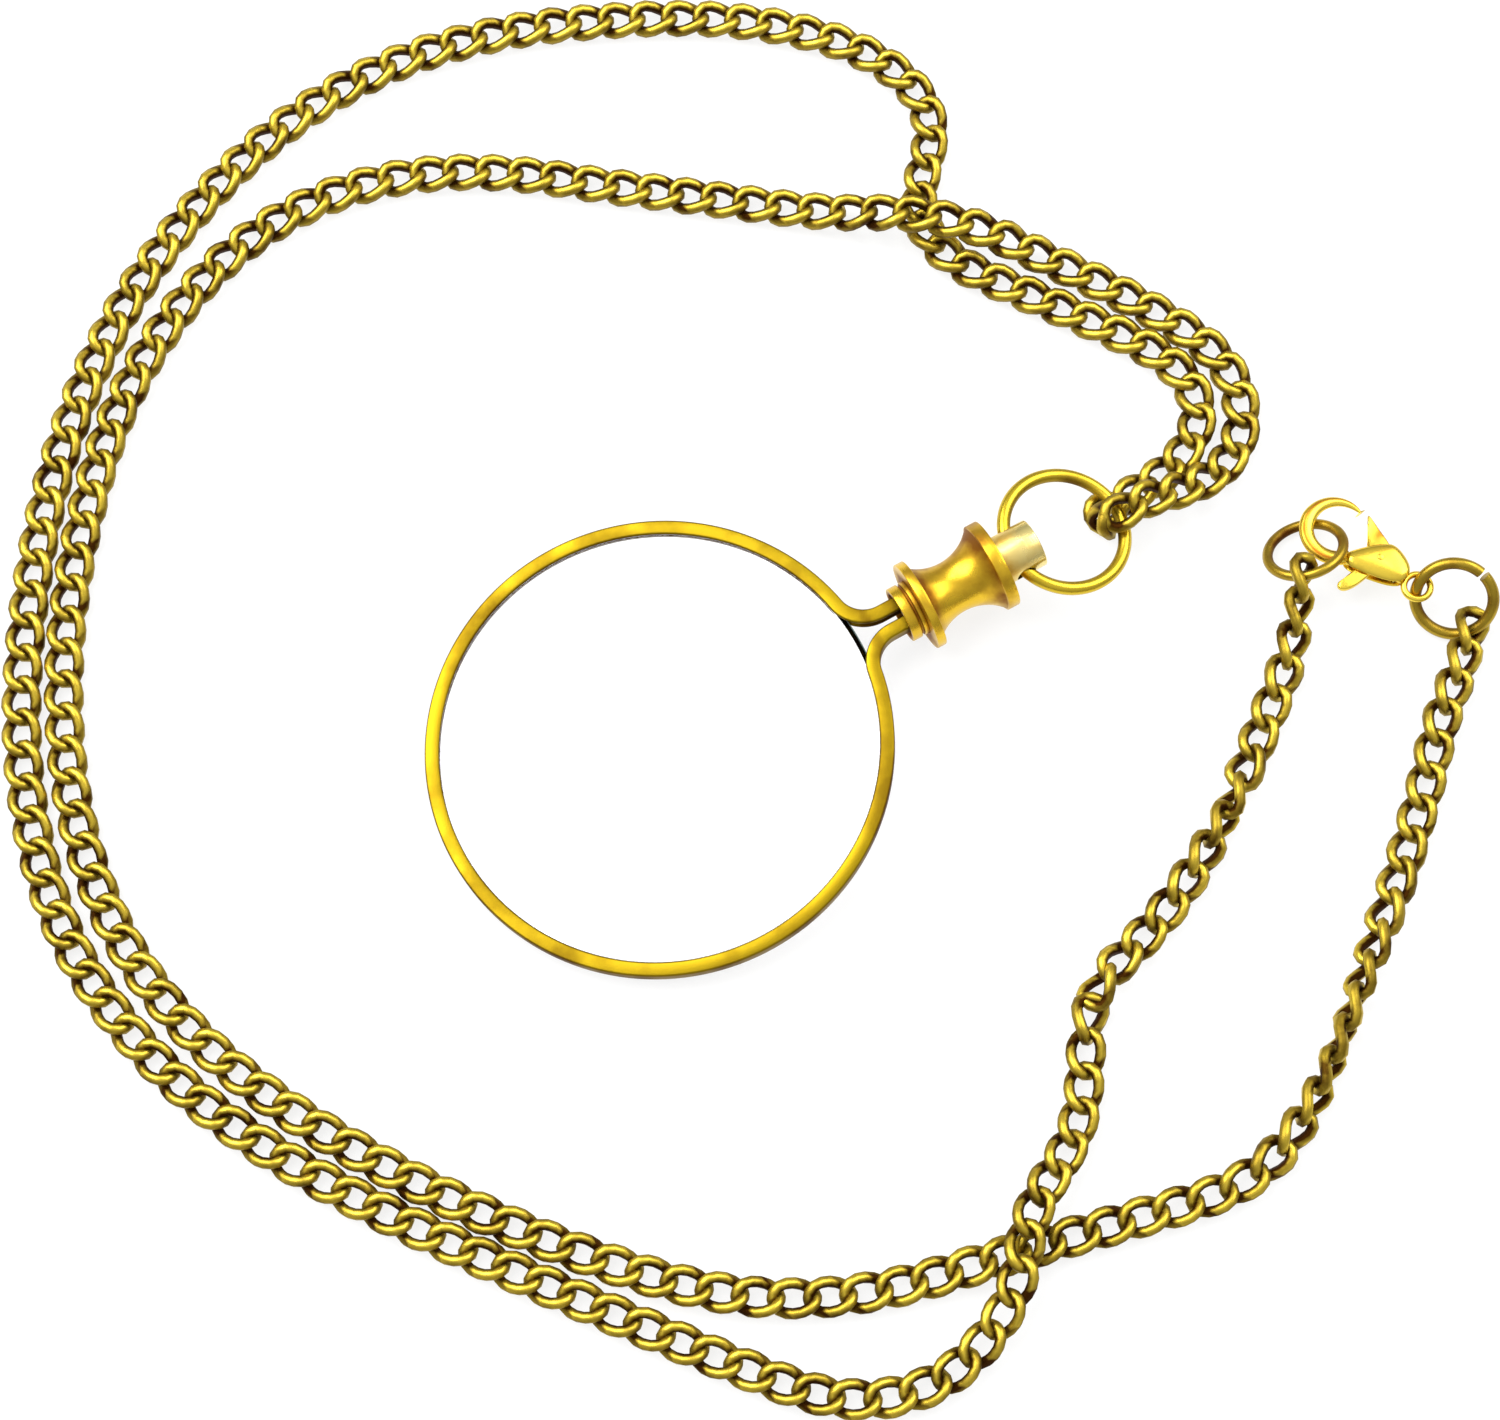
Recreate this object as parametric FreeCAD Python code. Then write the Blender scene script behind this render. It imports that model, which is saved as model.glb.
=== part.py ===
"""A quizzing glass: a round magnifying lens in one bent brass wire, on a short
turned handle, hung by a ring on a long curb chain with a lobster clasp.

The glass lies on a table as it would be laid down: on the far side of its rim
and on the front flange of its handle, so it tilts a little. +X runs from the
lens towards the handle's ring, +Z is up, and the table is at Z = 0. The origin
is under the middle of the box round the glass and its handle ring. All
lengths are in millimetres and all angles in degrees.
"""
import FreeCAD, Part
import math
import os

Vector = FreeCAD.Vector

# Lens
LENS_D = 43.4
LENS_EDGE = 1.0
LENS_CROWN = 0.8
LENS_ZONES = 2

# Rim wire: a grooved bezel wire, bent into a circle and drawn in at the neck
RIM_WALL = 1.4
RIM_HEIGHT = 1.6
RIM_BITE = 0.7
LENS_CLEARANCE = 0.04
NECK_BEND = 3.4
TAIL_GAP = 0.7
TAIL_STRAIGHT = 1.5
TAIL_SUNK = 5.0

# Handle: front collar, turned spool and ring boss, all on one axis
BORE_D = 4.4
BORE_SPARE = 0.3
COLLAR_D = 5.6
COLLAR_LENGTH = 1.75
COLLAR_GROOVE = 0.3
COLLAR_GROOVE_DEEP = 0.25
COLLAR_LAND = 0.45
FLANGE_D = 9.0
FRONT_FLANGE = 0.9
REAR_FLANGE = 1.2
FLANGE_CHAMFER = 0.12
WAIST_D = 5.2
WAIST_LENGTH = 6.85
WAIST_LOW = 3.1
WAIST_ZONES = 6
SOLDER_BACK = 1.0
BOSS_D = 4.85
BOSS_LENGTH = 4.2
BOSS_CHAMFER = 0.25
SPIGOT_D = 3.0
SPIGOT_LENGTH = 3.4
FIT_GAP = 0.02

# Handle ring, through the cross hole of the boss
RING_D = 13.4
RING_WIRE = 1.25
RING_HOLE_D = 2.0
RING_HOLE_BACK = 2.3
RING_GAP = 0.12

# Curb chain: every link is the same, twisted so that the chain lies flat
PITCH = 3.28
LINK_WIDTH = 3.65
LINK_WIRE = 0.62
LINK_SLACK = 0.46
LINK_RISE = 0.7
CHAIN_REST = 0.01
NODES_A_STRAND = 6

# Rings at the chain's two ends
END_RING_D = 8.4
END_RING_WIRE = 1.0
HOOK_RING_AT = (14.0, -12.4, 2.64)
HOOK_RING_TILT = 34.5
HOOK_RING_HIGH = -85.0
EYE_RING_TILT = 45.0
EYE_RING_HEADING = -47.8
EYE_RING_SPLIT = 0.5
EYE_RING_SPLIT_AT = -63.0

# Lobster clasp
CLAW_D = 6.5
CLAW_WIRE = 1.1
CLAW_TIP = -104.0
CLAW_ROOT = 150.0
CLASP_REACH = 9.5
CLASP_THICK = 1.9
CLASP_CHAMFER = 0.3
CLASP_EYE_AT = (21.3, -20.9, 3.2)
CLASP_HEADING = 111.8
CLASP_SLOPE = -3.3
EYE_D = 3.2
EYE_WIRE = 0.65
LEVER_THICK = 0.8
LEVER_GAP = 0.12
PIN_D = 0.8
PIN_AT = (4.4, 0.1)
PIN_CLEARANCE = 0.04
SPRING_THICK = 0.15

# Outlines of the clasp, from the middle of its eye towards the claw
BODY_OUTLINE = (
    (1.1, -0.75), (2.6, -1.65), (4.2, -2.05), (5.0, -1.45), (5.9, -0.5),
    (6.75, 0.7), (7.3, 1.5), (7.2, 2.4), (6.2, 2.7), (3.4, 1.9), (1.2, 1.0),
)
LEVER_OUTLINE = (
    (3.5, -0.7), (4.4, -1.9), (6.0, -2.35), (8.0, -3.2), (8.2, -2.95),
    (6.2, -1.35), (5.3, -0.2), (5.2, 1.2), (5.5, 3.2), (6.3, 4.3), (6.0, 4.9),
    (5.2, 4.9), (4.5, 3.6), (4.2, 1.4), (3.5, 0.7),
)
SPRING_OUTLINE = ((2.2, 0.9), (2.9, 0.5), (3.0, 0.0), (2.9, -0.5), (2.2, -0.9))

# Routes of the chain. Their points are measured from the middle of the ring's
# far side, and the height of a point is that of the chain's middle, in chain
# thicknesses. The last number is how far the chain is turned about itself.
OUTER_START = (1.3, 0.86, 0.56, -8)
INNER_START = (1.66, -0.86, 2.21, 0)
OUTER_ROUTE = (
    (4.6, 1.0, 0.52, 0), (9.5, 1.9, 0.52, 0), (14.0, 5.9, 0.51, 0),
    (13.2, 12.0, 0.50, 0), (9.4, 17.4, 0.50, 0), (5.7, 22.6, 0.50, 0),
    (2.2, 27.2, 0.50, 0), (-0.6, 31.2, 0.50, 0), (-1.8, 36.1, 0.50, 0),
    (1.0, 40.7, 0.50, 0), (4.9, 44.1, 0.50, 0), (6.1, 49.0, 0.50, 0),
    (4.3, 54.5, 0.50, 0), (0.0, 60.2, 0.50, 0), (-7.6, 66.3, 0.50, 0),
    (-16.5, 71.0, 0.50, 0), (-28.0, 75.8, 0.50, 0),
    (-40.6, 78.2, 0.50, 0), (-53.5, 77.0, 0.50, 0), (-66.4, 72.2, 0.50, 0),
    (-78.2, 64.9, 0.50, 0), (-89.4, 53.7, 0.50, 0), (-98.6, 40.2, 0.50, 0),
    (-105.2, 26.6, 0.50, 0), (-108.4, 11.8, 0.50, 0), (-106.8, -1.6, 0.50, 0),
    (-101.9, -14.0, 0.50, 0), (-93.2, -27.3, 0.50, 0), (-82.6, -40.8, 0.50, 0),
    (-72.2, -53.6, 0.50, 0), (-64.8, -62.2, 0.50, 0), (-56.6, -64.9, 0.50, 0),
    (-50.9, -63.6, 0.86, 0), (-45.7, -60.7, 1.56, 0), (-41.9, -55.2, 1.62, -8),
    (-37.8, -52.4, 1.00, -28), (-33.0, -49.4, 0.88, -70),
    (-29.0, -43.2, 1.00, -110), (-24.0, -39.4, 0.75, -160),
    (-16.2, -37.4, 0.70, -200), (-8.2, -32.8, 1.05, -270),
    (-1.4, -27.8, 0.72, -340), (3.4, -24.0, 0.58, -365), (7.8, -20.4, 0.96, -400),
    (10.4, -16.9, 1.50, -445),
)
INNER_ROUTE = (
    (4.6, -1.3, 1.96, 0), (9.0, -1.6, 1.04, 0), (13.1, -0.8, 0.55, 0),
    (16.9, 2.8, 0.50, 0), (18.2, 9.0, 0.50, 0), (15.6, 15.0, 0.50, 0),
    (11.8, 21.3, 0.50, 0), (7.6, 27.2, 0.62, 0), (2.9, 32.6, 1.72, 0),
    (-3.0, 37.5, 1.72, 0), (-8.6, 41.4, 0.52, 0),
    (-19.0, 49.2, 0.50, 0), (-27.3, 55.2, 0.50, 0), (-35.2, 61.4, 0.50, 0),
    (-44.2, 66.0, 0.50, 0), (-54.0, 68.0, 0.50, 0), (-63.8, 66.8, 0.50, 0),
    (-72.7, 62.8, 0.50, 0), (-81.6, 56.2, 0.50, 0), (-90.2, 45.9, 0.50, 0),
    (-97.2, 34.6, 0.50, 0), (-102.3, 21.6, 0.50, 0), (-103.9, 8.6, 0.50, 0),
    (-101.9, -3.0, 0.50, 0), (-97.2, -14.0, 0.50, 0), (-88.6, -27.4, 0.50, 0),
    (-78.2, -40.2, 0.50, 0), (-68.6, -49.4, 0.50, 0), (-57.4, -55.0, 0.50, 0),
    (-44.4, -57.6, 0.50, 0), (-32.4, -60.4, 0.54, 0), (-22.4, -62.6, 0.72, -25),
    (-13.2, -59.0, 0.98, -80), (-4.4, -51.9, 0.98, -100), (4.0, -45.2, 0.85, -150),
    (11.6, -38.4, 0.62, -185), (17.2, -32.4, 0.95, -240), (21.5, -29.4, 0.92, -305),
)
OUTER_END = (12.6, -13.8, 2.22, -460)
INNER_END = (25.1, -25.7, 0.78, -315)

# The three links round the ring: middle, heading and turn. The middles are
# measured from the ring wire's, and they step sideways, as twisted links do.
HITCH_LINKS = (
    ((0.00, -0.86, 1.72), (-1, 0, 0), 0),
    ((-1.72, 0.00, 0.04), (0, 0, -1), 0),
    ((-0.34, 0.86, -1.62), (1, 0, 0), -8),
)

# Sizes that follow from the ones above
RIM_R = LENS_D / 2 - RIM_BITE + RIM_WALL
RIM_MID = RIM_R - RIM_WALL / 2
TAIL_Y = (TAIL_GAP + RIM_WALL) / 2
NECK_ANGLE = math.asin((TAIL_Y + NECK_BEND) / (RIM_MID + NECK_BEND))
NECK_X = (RIM_MID + NECK_BEND) * math.cos(NECK_ANGLE)
MOUTH_X = NECK_X + TAIL_STRAIGHT
FLANGE_X = MOUTH_X + COLLAR_LENGTH
WAIST_X = FLANGE_X + FRONT_FLANGE
REAR_X = WAIST_X + WAIST_LENGTH
BOSS_X = REAR_X + REAR_FLANGE
BOSS_END = BOSS_X + BOSS_LENGTH
HOLE_X = BOSS_END - RING_HOLE_BACK
BORE_END = MOUTH_X + TAIL_SUNK + BORE_SPARE

# How the glass rests: its tilt, and the height of the lens's middle
TILT = math.atan((FLANGE_D - RIM_HEIGHT) / 2 / (RIM_R + FLANGE_X))
LENS_Z = RIM_R * math.sin(TILT) + RIM_HEIGHT / 2 * math.cos(TILT)
HOLE_AT = (HOLE_X * math.cos(TILT), LENS_Z + HOLE_X * math.sin(TILT))

# How the handle ring hangs from its hole down to the chain under its far side
CHAIN_THICK = 2 * LINK_RISE + LINK_WIRE
RING_MID = (RING_D - RING_WIRE) / 2
RING_NEAR = -(RING_MID - math.sqrt(RING_MID ** 2 - (BOSS_D / 2) ** 2)) / 2
RING_FAR_Z = RING_WIRE / 2 + CHAIN_THICK + RING_GAP
RING_DROOP = math.asin((HOLE_AT[1] - RING_FAR_Z) / (RING_NEAR + 2 * RING_MID))
HITCH_FROM_LENS = HOLE_AT[0] + (RING_NEAR + 2 * RING_MID) * math.cos(RING_DROOP)

# The origin is under the middle of the glass, its handle and its ring
LOW_X = -RIM_R * math.cos(TILT) - RIM_HEIGHT / 2 * math.sin(TILT)
LENS_AT = -(LOW_X + HITCH_FROM_LENS + RING_WIRE / 2) / 2
HITCH_AT = LENS_AT + HITCH_FROM_LENS
LINK_REACH = (PITCH + LINK_WIRE + LINK_SLACK) / 2
END_RING_MID = (END_RING_D - END_RING_WIRE) / 2


def turned(points):
    """A solid of revolution about X, from points (x, radius)."""
    corners = [Vector(x, 0, r) for x, r in points + points[:1]]
    face = Part.Face(Part.makePolygon(corners))
    return face.revolve(Vector(0, 0, 0), Vector(1, 0, 0), 360)


def on_table(shape):
    """Tilt a piece of the glass as it rests, and set it in its place."""
    placed = shape.copy()
    placed.rotate(Vector(0, 0, 0), Vector(0, 1, 0), -math.degrees(TILT))
    placed.translate(Vector(LENS_AT, 0, LENS_Z))
    return placed


def lens():
    """A biconvex lens with a bevelled edge that sits in the rim's groove. Each
    face is a few flat zones, from rings of points on the true curve."""
    seat = LENS_D / 2 - RIM_BITE
    radius = (seat ** 2 + LENS_CROWN ** 2) / (2 * LENS_CROWN)
    top = []
    for zone in range(LENS_ZONES + 1):
        r = seat * zone / LENS_ZONES
        drop = radius - math.sqrt(radius ** 2 - r ** 2)
        top.append((r, LENS_EDGE / 2 + LENS_CROWN - drop))
    bottom = [(r, -z) for r, z in reversed(top)]
    corners = [Vector(r, 0, z) for r, z in top + [(LENS_D / 2, 0)] + bottom + top[:1]]
    face = Part.Face(Part.makePolygon(corners))
    return face.revolve(Vector(0, 0, 0), Vector(0, 0, 1), 360)


def rim_wire():
    """One grooved wire: round the lens, then both ends side by side."""
    end_x = MOUTH_X + TAIL_SUNK
    bend = Vector(NECK_X, TAIL_Y + NECK_BEND, 0)
    toward_lens = (math.pi + NECK_ANGLE + 1.5 * math.pi) / 2
    neck_mid = bend + Vector(math.cos(toward_lens), math.sin(toward_lens), 0) * NECK_BEND
    leave = Vector(math.cos(NECK_ANGLE), math.sin(NECK_ANGLE), 0) * RIM_MID
    mirror = Vector(1, -1, 1)

    def mirrored(point):
        return Vector(point.x * mirror.x, point.y * mirror.y, point.z)

    tail = Vector(end_x, TAIL_Y, 0)
    neck = Vector(NECK_X, TAIL_Y, 0)
    path = Part.Wire([
        Part.LineSegment(tail, neck).toShape(),
        Part.Arc(neck, neck_mid, leave).toShape(),
        Part.Arc(leave, Vector(-RIM_MID, 0, 0), mirrored(leave)).toShape(),
        Part.Arc(mirrored(leave), mirrored(neck_mid), mirrored(neck)).toShape(),
        Part.LineSegment(mirrored(neck), mirrored(tail)).toShape(),
    ])
    inner = TAIL_Y - RIM_WALL / 2
    outer = TAIL_Y + RIM_WALL / 2
    top = RIM_HEIGHT / 2
    mouth = LENS_EDGE / 2 + LENS_CLEARANCE
    deep = inner + RIM_BITE + LENS_CLEARANCE
    corners = [
        (inner, mouth), (inner, top), (outer, top), (outer, -top),
        (inner, -top), (inner, -mouth), (deep, 0),
    ]
    section = Part.makePolygon([Vector(end_x, y, z) for y, z in corners + corners[:1]])
    return path.makePipeShell([section], True, False)


def front_collar():
    """The small collar round the mouth, with a fine groove before the flange."""
    bore = BORE_D / 2
    outer = COLLAR_D / 2
    groove = outer - COLLAR_GROOVE_DEEP
    groove_end = FLANGE_X - COLLAR_LAND
    groove_start = groove_end - COLLAR_GROOVE
    return turned([
        (MOUTH_X, bore), (MOUTH_X, outer - FLANGE_CHAMFER), (MOUTH_X + FLANGE_CHAMFER, outer),
        (groove_start, outer), (groove_start, groove), (groove_end, groove),
        (groove_end, outer), (FLANGE_X, outer), (FLANGE_X, bore),
    ])


def spool():
    """The turned body: a flange at each end and a hollow waist between."""
    flange = FLANGE_D / 2
    soft = FLANGE_CHAMFER
    low_x = WAIST_X + WAIST_LOW
    low_r = WAIST_D / 2
    end_r = flange - soft
    run = REAR_X - low_x
    rise = end_r - low_r
    sweep = (run ** 2 + rise ** 2) / (2 * rise)
    waist = []
    for zone in range(WAIST_ZONES + 1):
        x = WAIST_X + WAIST_LENGTH * zone / WAIST_ZONES
        waist.append((x, low_r + sweep - math.sqrt(sweep ** 2 - (x - low_x) ** 2)))
    spigot = SPIGOT_D / 2 + FIT_GAP
    socket = BOSS_X - SPIGOT_LENGTH - FIT_GAP
    points = [
        (FLANGE_X, BORE_D / 2), (FLANGE_X, flange - soft), (FLANGE_X + soft, flange),
        (WAIST_X - soft, flange), (WAIST_X, flange - soft), *waist,
        (REAR_X + soft, flange), (BOSS_X - soft, flange), (BOSS_X, flange - soft),
        (BOSS_X, spigot), (socket, spigot), (socket, 0), (BORE_END, 0),
        (BORE_END, BORE_D / 2),
    ]
    return turned(points)


def ring_boss():
    """The paler stub behind the spool, cross-drilled for the ring."""
    head = BOSS_D / 2
    spigot = SPIGOT_D / 2
    stub = turned([
        (BOSS_X - SPIGOT_LENGTH, 0), (BOSS_X - SPIGOT_LENGTH, spigot), (BOSS_X, spigot),
        (BOSS_X, head), (BOSS_END - BOSS_CHAMFER, head), (BOSS_END, head - BOSS_CHAMFER),
        (BOSS_END, 0),
    ])
    drill = Part.makeCylinder(
        RING_HOLE_D / 2, 2 * BOSS_D, Vector(HOLE_X, -BOSS_D, 0), Vector(0, 1, 0))
    return stub.cut(drill)


def wire_solder(wire):
    """The solder that fills the bore round the two ends of the rim wire."""
    start = MOUTH_X + SOLDER_BACK
    plug = Part.makeCylinder(
        BORE_D / 2 - FIT_GAP, BORE_END - start, Vector(start, 0, 0), Vector(1, 0, 0))
    return plug.cut(wire)


def wire_ring(middle, wire, turn=360.0):
    """A ring of wire round Z, with six flats to its section."""
    corners = []
    for side in range(7):
        angle = math.radians(60 * side)
        corners.append(Vector(
            middle + wire / 2 * math.cos(angle), 0, wire / 2 * math.sin(angle)))
    face = Part.Face(Part.makePolygon(corners))
    return face.revolve(Vector(0, 0, 0), Vector(0, 0, 1), turn)


def handle_ring():
    """The ring, in its hole and drooping to the chain under its far side."""
    ring = wire_ring(RING_MID, RING_WIRE)
    ring.translate(Vector(RING_NEAR + RING_MID, 0, 0))
    ring.rotate(Vector(0, 0, 0), Vector(0, 1, 0), math.degrees(RING_DROOP))
    ring.translate(Vector(LENS_AT + HOLE_AT[0], 0, HOLE_AT[1]))
    return ring


def joints_along(route, pitch):
    """Points one pitch apart on the smooth curve that the route steers, and the
    turn between each two of them. The pitch is eased to end on the last point."""
    places = [
        Vector(HITCH_AT + x, y, CHAIN_REST + thicknesses * CHAIN_THICK)
        for x, y, thicknesses, _ in route]
    curve = Part.BSplineCurve()
    curve.buildFromPoles(places, False, 2)
    steps = round(curve.length() / pitch)
    eased = curve.length() / steps
    joints = [curve.value(curve.parameterAtDistance(eased * k)) for k in range(steps)]
    turns = [
        turn_at(route, curve.parameterAtDistance(eased * (k + 0.5)) / curve.LastParameter)
        for k in range(steps)]
    return joints + [places[-1]], turns


def turn_at(route, share):
    """The chain's turn about itself, at a share of the curve's parameter."""
    last = len(route) - 2
    number = min(max(share * last - 0.5, -0.5), last - 0.5) + 1
    before = min(int(number), last)
    part = number - before
    return route[before][3] * (1 - part) + route[before + 1][3] * part


def link_corners():
    """The four corners of the wire's section at each of a link's six bends."""
    bends = []
    for bend in range(6):
        angle = math.radians(30 + 60 * bend)
        bends.append(Vector(
            LINK_REACH / math.cos(math.radians(30)) * math.cos(angle),
            (LINK_WIDTH - LINK_WIRE) / 2 * math.sin(angle),
            LINK_RISE / math.sin(math.radians(60)) * math.sin(2 * angle)))
    corners = []
    half = LINK_WIRE / 2
    for number, bend in enumerate(bends):
        arriving = (bend - bends[number - 1]).normalize()
        leaving = (bends[(number + 1) % 6] - bend).normalize()
        along = (arriving + leaving).normalize()
        up = (Vector(0, 0, 1) - along * along.z).normalize()
        side = along.cross(up) * (half / math.cos(arriving.getAngle(leaving) / 2))
        corners.append([
            bend + side + up * half, bend - side + up * half,
            bend - side - up * half, bend + side - up * half])
    return corners


def link():
    """One twisted link, in flat facets."""
    corners = link_corners()
    faces = []
    for number in range(6):
        here = corners[number]
        there = corners[(number + 1) % 6]
        for side in range(4):
            a = here[side]
            b = here[(side + 1) % 4]
            c = there[(side + 1) % 4]
            d = there[side]
            faces.append(Part.Face(Part.makePolygon([a, b, c, a])))
            faces.append(Part.Face(Part.makePolygon([a, c, d, a])))
    solid = Part.Solid(Part.Shell(faces))
    if solid.Volume < 0:
        solid.reverse()
    return solid


def link_at(model, middle, along, across, turn):
    """A link, with its length along one direction and its width across it,
    before its turn about that length."""
    side = (across - along * across.dot(along)).normalize()
    up = along.cross(side)
    angle = math.radians(turn)
    width = side * math.cos(angle) + up * math.sin(angle)
    face_up = along.cross(width)
    matrix = FreeCAD.Matrix(
        along.x, width.x, face_up.x, middle.x,
        along.y, width.y, face_up.y, middle.y,
        along.z, width.z, face_up.z, middle.z,
        0, 0, 0, 1)
    return model.transformed(matrix, copy=True)


def links_on(route):
    """A strand's links: one from each joint on its route to the next."""
    model = link()
    joints, turns = joints_along(route, PITCH)
    placed = []
    for start, end, turn in zip(joints, joints[1:], turns):
        along = (end - start).normalize()
        across = Vector(0, 0, 1).cross(along)
        placed.append(link_at(model, (start + end) * 0.5, along, across, turn))
    return placed


def hitch_links():
    """The links that go over the ring's far side, down inside it and under."""
    model = link()
    wire = Vector(HITCH_AT, 0, RING_FAR_Z)
    return [
        link_at(model, wire + Vector(*middle), Vector(*along), Vector(0, -1, 0), turn)
        for middle, along, turn in HITCH_LINKS]


def split_strand(name, links):
    """A strand's links, shared out over its nodes."""
    share = math.ceil(len(links) / NODES_A_STRAND)
    nodes = {}
    for number in range(NODES_A_STRAND):
        nodes[f"{name}_{number + 1}"] = Part.makeCompound(
            links[number * share:(number + 1) * share])
    return nodes


def chain():
    """The whole chain: its links round the ring, and its two long strands."""
    around = hitch_links()
    outer = links_on((OUTER_START,) + OUTER_ROUTE + (OUTER_END,))
    inner = links_on((INNER_START,) + INNER_ROUTE + (INNER_END,))
    print("links:", len(around), len(outer), len(inner))
    nodes = {"hitch_links": Part.makeCompound(around)}
    nodes.update(split_strand("outer_chain", outer))
    nodes.update(split_strand("inner_chain", inner))
    return nodes


def hook_ring():
    """The ring that the claw holds, tipped over the claw's root."""
    ring = wire_ring(END_RING_MID, END_RING_WIRE)
    ring.rotate(Vector(0, 0, 0), Vector(0, 1, 0), -HOOK_RING_TILT)
    ring.rotate(Vector(0, 0, 0), Vector(0, 0, 1), HOOK_RING_HIGH)
    ring.translate(Vector(*HOOK_RING_AT) + Vector(HITCH_AT, 0, 0))
    return ring


def eye_ring():
    """The split ring through the clasp's eye, tipped about its own radius."""
    gap = math.degrees(EYE_RING_SPLIT / END_RING_MID)
    ring = wire_ring(END_RING_MID, END_RING_WIRE, 360 - gap)
    ring.rotate(Vector(0, 0, 0), Vector(0, 0, 1), -EYE_RING_SPLIT_AT + gap / 2)
    ring.translate(Vector(END_RING_MID, 0, 0))
    ring.rotate(Vector(0, 0, 0), Vector(1, 0, 0), EYE_RING_TILT)
    ring.rotate(Vector(0, 0, 0), Vector(0, 0, 1), EYE_RING_HEADING)
    ring.translate(Vector(*CLASP_EYE_AT) + Vector(HITCH_AT, 0, 0))
    return ring


def clasp_placed(shape):
    """A piece of the clasp, from its own flat frame to its place."""
    placed = shape.copy()
    placed.rotate(Vector(0, 0, 0), Vector(0, 1, 0), -CLASP_SLOPE)
    placed.rotate(Vector(0, 0, 0), Vector(0, 0, 1), CLASP_HEADING)
    placed.translate(Vector(*CLASP_EYE_AT) + Vector(HITCH_AT, 0, 0))
    return placed


def plate(outline, thick):
    """A flat plate of one outline, centred on the clasp's middle plane."""
    corners = [Vector(u, v, -thick / 2) for u, v in outline + outline[:1]]
    return Part.Face(Part.makePolygon(corners)).extrude(Vector(0, 0, thick))


def pin_hole(radius):
    """A drill through the clasp where the lever's pin goes."""
    return Part.makeCylinder(
        radius, 2 * CLASP_THICK, Vector(PIN_AT[0], PIN_AT[1], -CLASP_THICK))


def clasp_body():
    """Claw, slotted cheeks and eye in one casting."""
    cheeks = plate(BODY_OUTLINE, CLASP_THICK)
    flat_edges = [e for e in cheeks.Edges if abs(e.tangentAt(e.FirstParameter).z) < 0.5]
    cheeks = cheeks.makeChamfer(CLASP_CHAMFER, flat_edges)
    slot = Part.makeBox(
        CLASP_REACH, 3 * CLASP_THICK, LEVER_THICK + 2 * LEVER_GAP,
        Vector(EYE_D / 2 + 0.4, -1.5 * CLASP_THICK, -LEVER_THICK / 2 - LEVER_GAP))
    root = Part.makeBox(
        CLAW_WIRE, 2 * CLAW_WIRE, CLASP_THICK,
        Vector(CLASP_REACH - CLAW_D / 2 - 0.1, 0.9, -CLASP_THICK / 2))
    claw = wire_ring((CLAW_D - CLAW_WIRE) / 2, CLAW_WIRE, CLAW_ROOT - CLAW_TIP)
    claw.rotate(Vector(0, 0, 0), Vector(0, 0, 1), CLAW_TIP)
    claw.translate(Vector(CLASP_REACH, 0, 0))
    eye = wire_ring((EYE_D - EYE_WIRE) / 2, EYE_WIRE)
    body = cheeks.cut(slot.cut(root)).cut(pin_hole(PIN_D / 2))
    return body.fuse([claw, eye]).removeSplitter()


def clasp_lever():
    """The gate: its nose shuts the claw and its tab stands out for the thumb."""
    return plate(LEVER_OUTLINE, LEVER_THICK).cut(pin_hole(PIN_D / 2 + PIN_CLEARANCE))


def clasp_pin():
    """The rivet that the lever turns on."""
    return Part.makeCylinder(
        PIN_D / 2, CLASP_THICK, Vector(PIN_AT[0], PIN_AT[1], -CLASP_THICK / 2))


def clasp_spring():
    """A bowed strip in the slot, behind the lever's heel."""
    outer = list(SPRING_OUTLINE)
    inner = [(u - SPRING_THICK, v) for u, v in reversed(SPRING_OUTLINE)]
    return plate(tuple(outer + inner), LEVER_THICK)


def main():
    wire = rim_wire()
    nodes = {
        "lens": on_table(lens()),
        "rim_wire": on_table(wire),
        "front_collar": on_table(front_collar()),
        "spool": on_table(spool()),
        "ring_boss": on_table(ring_boss()),
        "wire_solder": on_table(wire_solder(wire)),
        "handle_ring": handle_ring(),
        "hook_ring": hook_ring(),
        "eye_ring": eye_ring(),
        "clasp_body": clasp_placed(clasp_body()),
        "clasp_lever": clasp_placed(clasp_lever()),
        "clasp_pin": clasp_placed(clasp_pin()),
        "clasp_spring": clasp_placed(clasp_spring()),
    }
    nodes.update(chain())
    os.makedirs("parts", exist_ok=True)
    for name, shape in nodes.items():
        shape.exportStep(f"parts/{name}.step")
        print(f"{name:16s} solids {len(shape.Solids):3d}  volume {shape.Volume:9.2f}")
    print("lens at", round(LENS_AT, 3), "hitch at", round(HITCH_AT, 3))
    print("hole at", round(LENS_AT + HOLE_AT[0], 3), round(HOLE_AT[1], 3))
    print("ring far z", round(RING_FAR_Z, 3), "droop", round(math.degrees(RING_DROOP), 3))


main()
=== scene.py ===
# %% [markdown]
# # A quizzing glass on its curb chain
#
# A quizzing glass is one magnifying lens with a short handle, worn on a long
# chain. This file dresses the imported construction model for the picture: each
# solid that shows is replaced by a finer piece in the same place. The model is
# loaded first, because every new piece rides on one of its bodies.

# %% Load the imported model
import math
import bmesh
import bpy
from mathutils import Matrix, Vector


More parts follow.
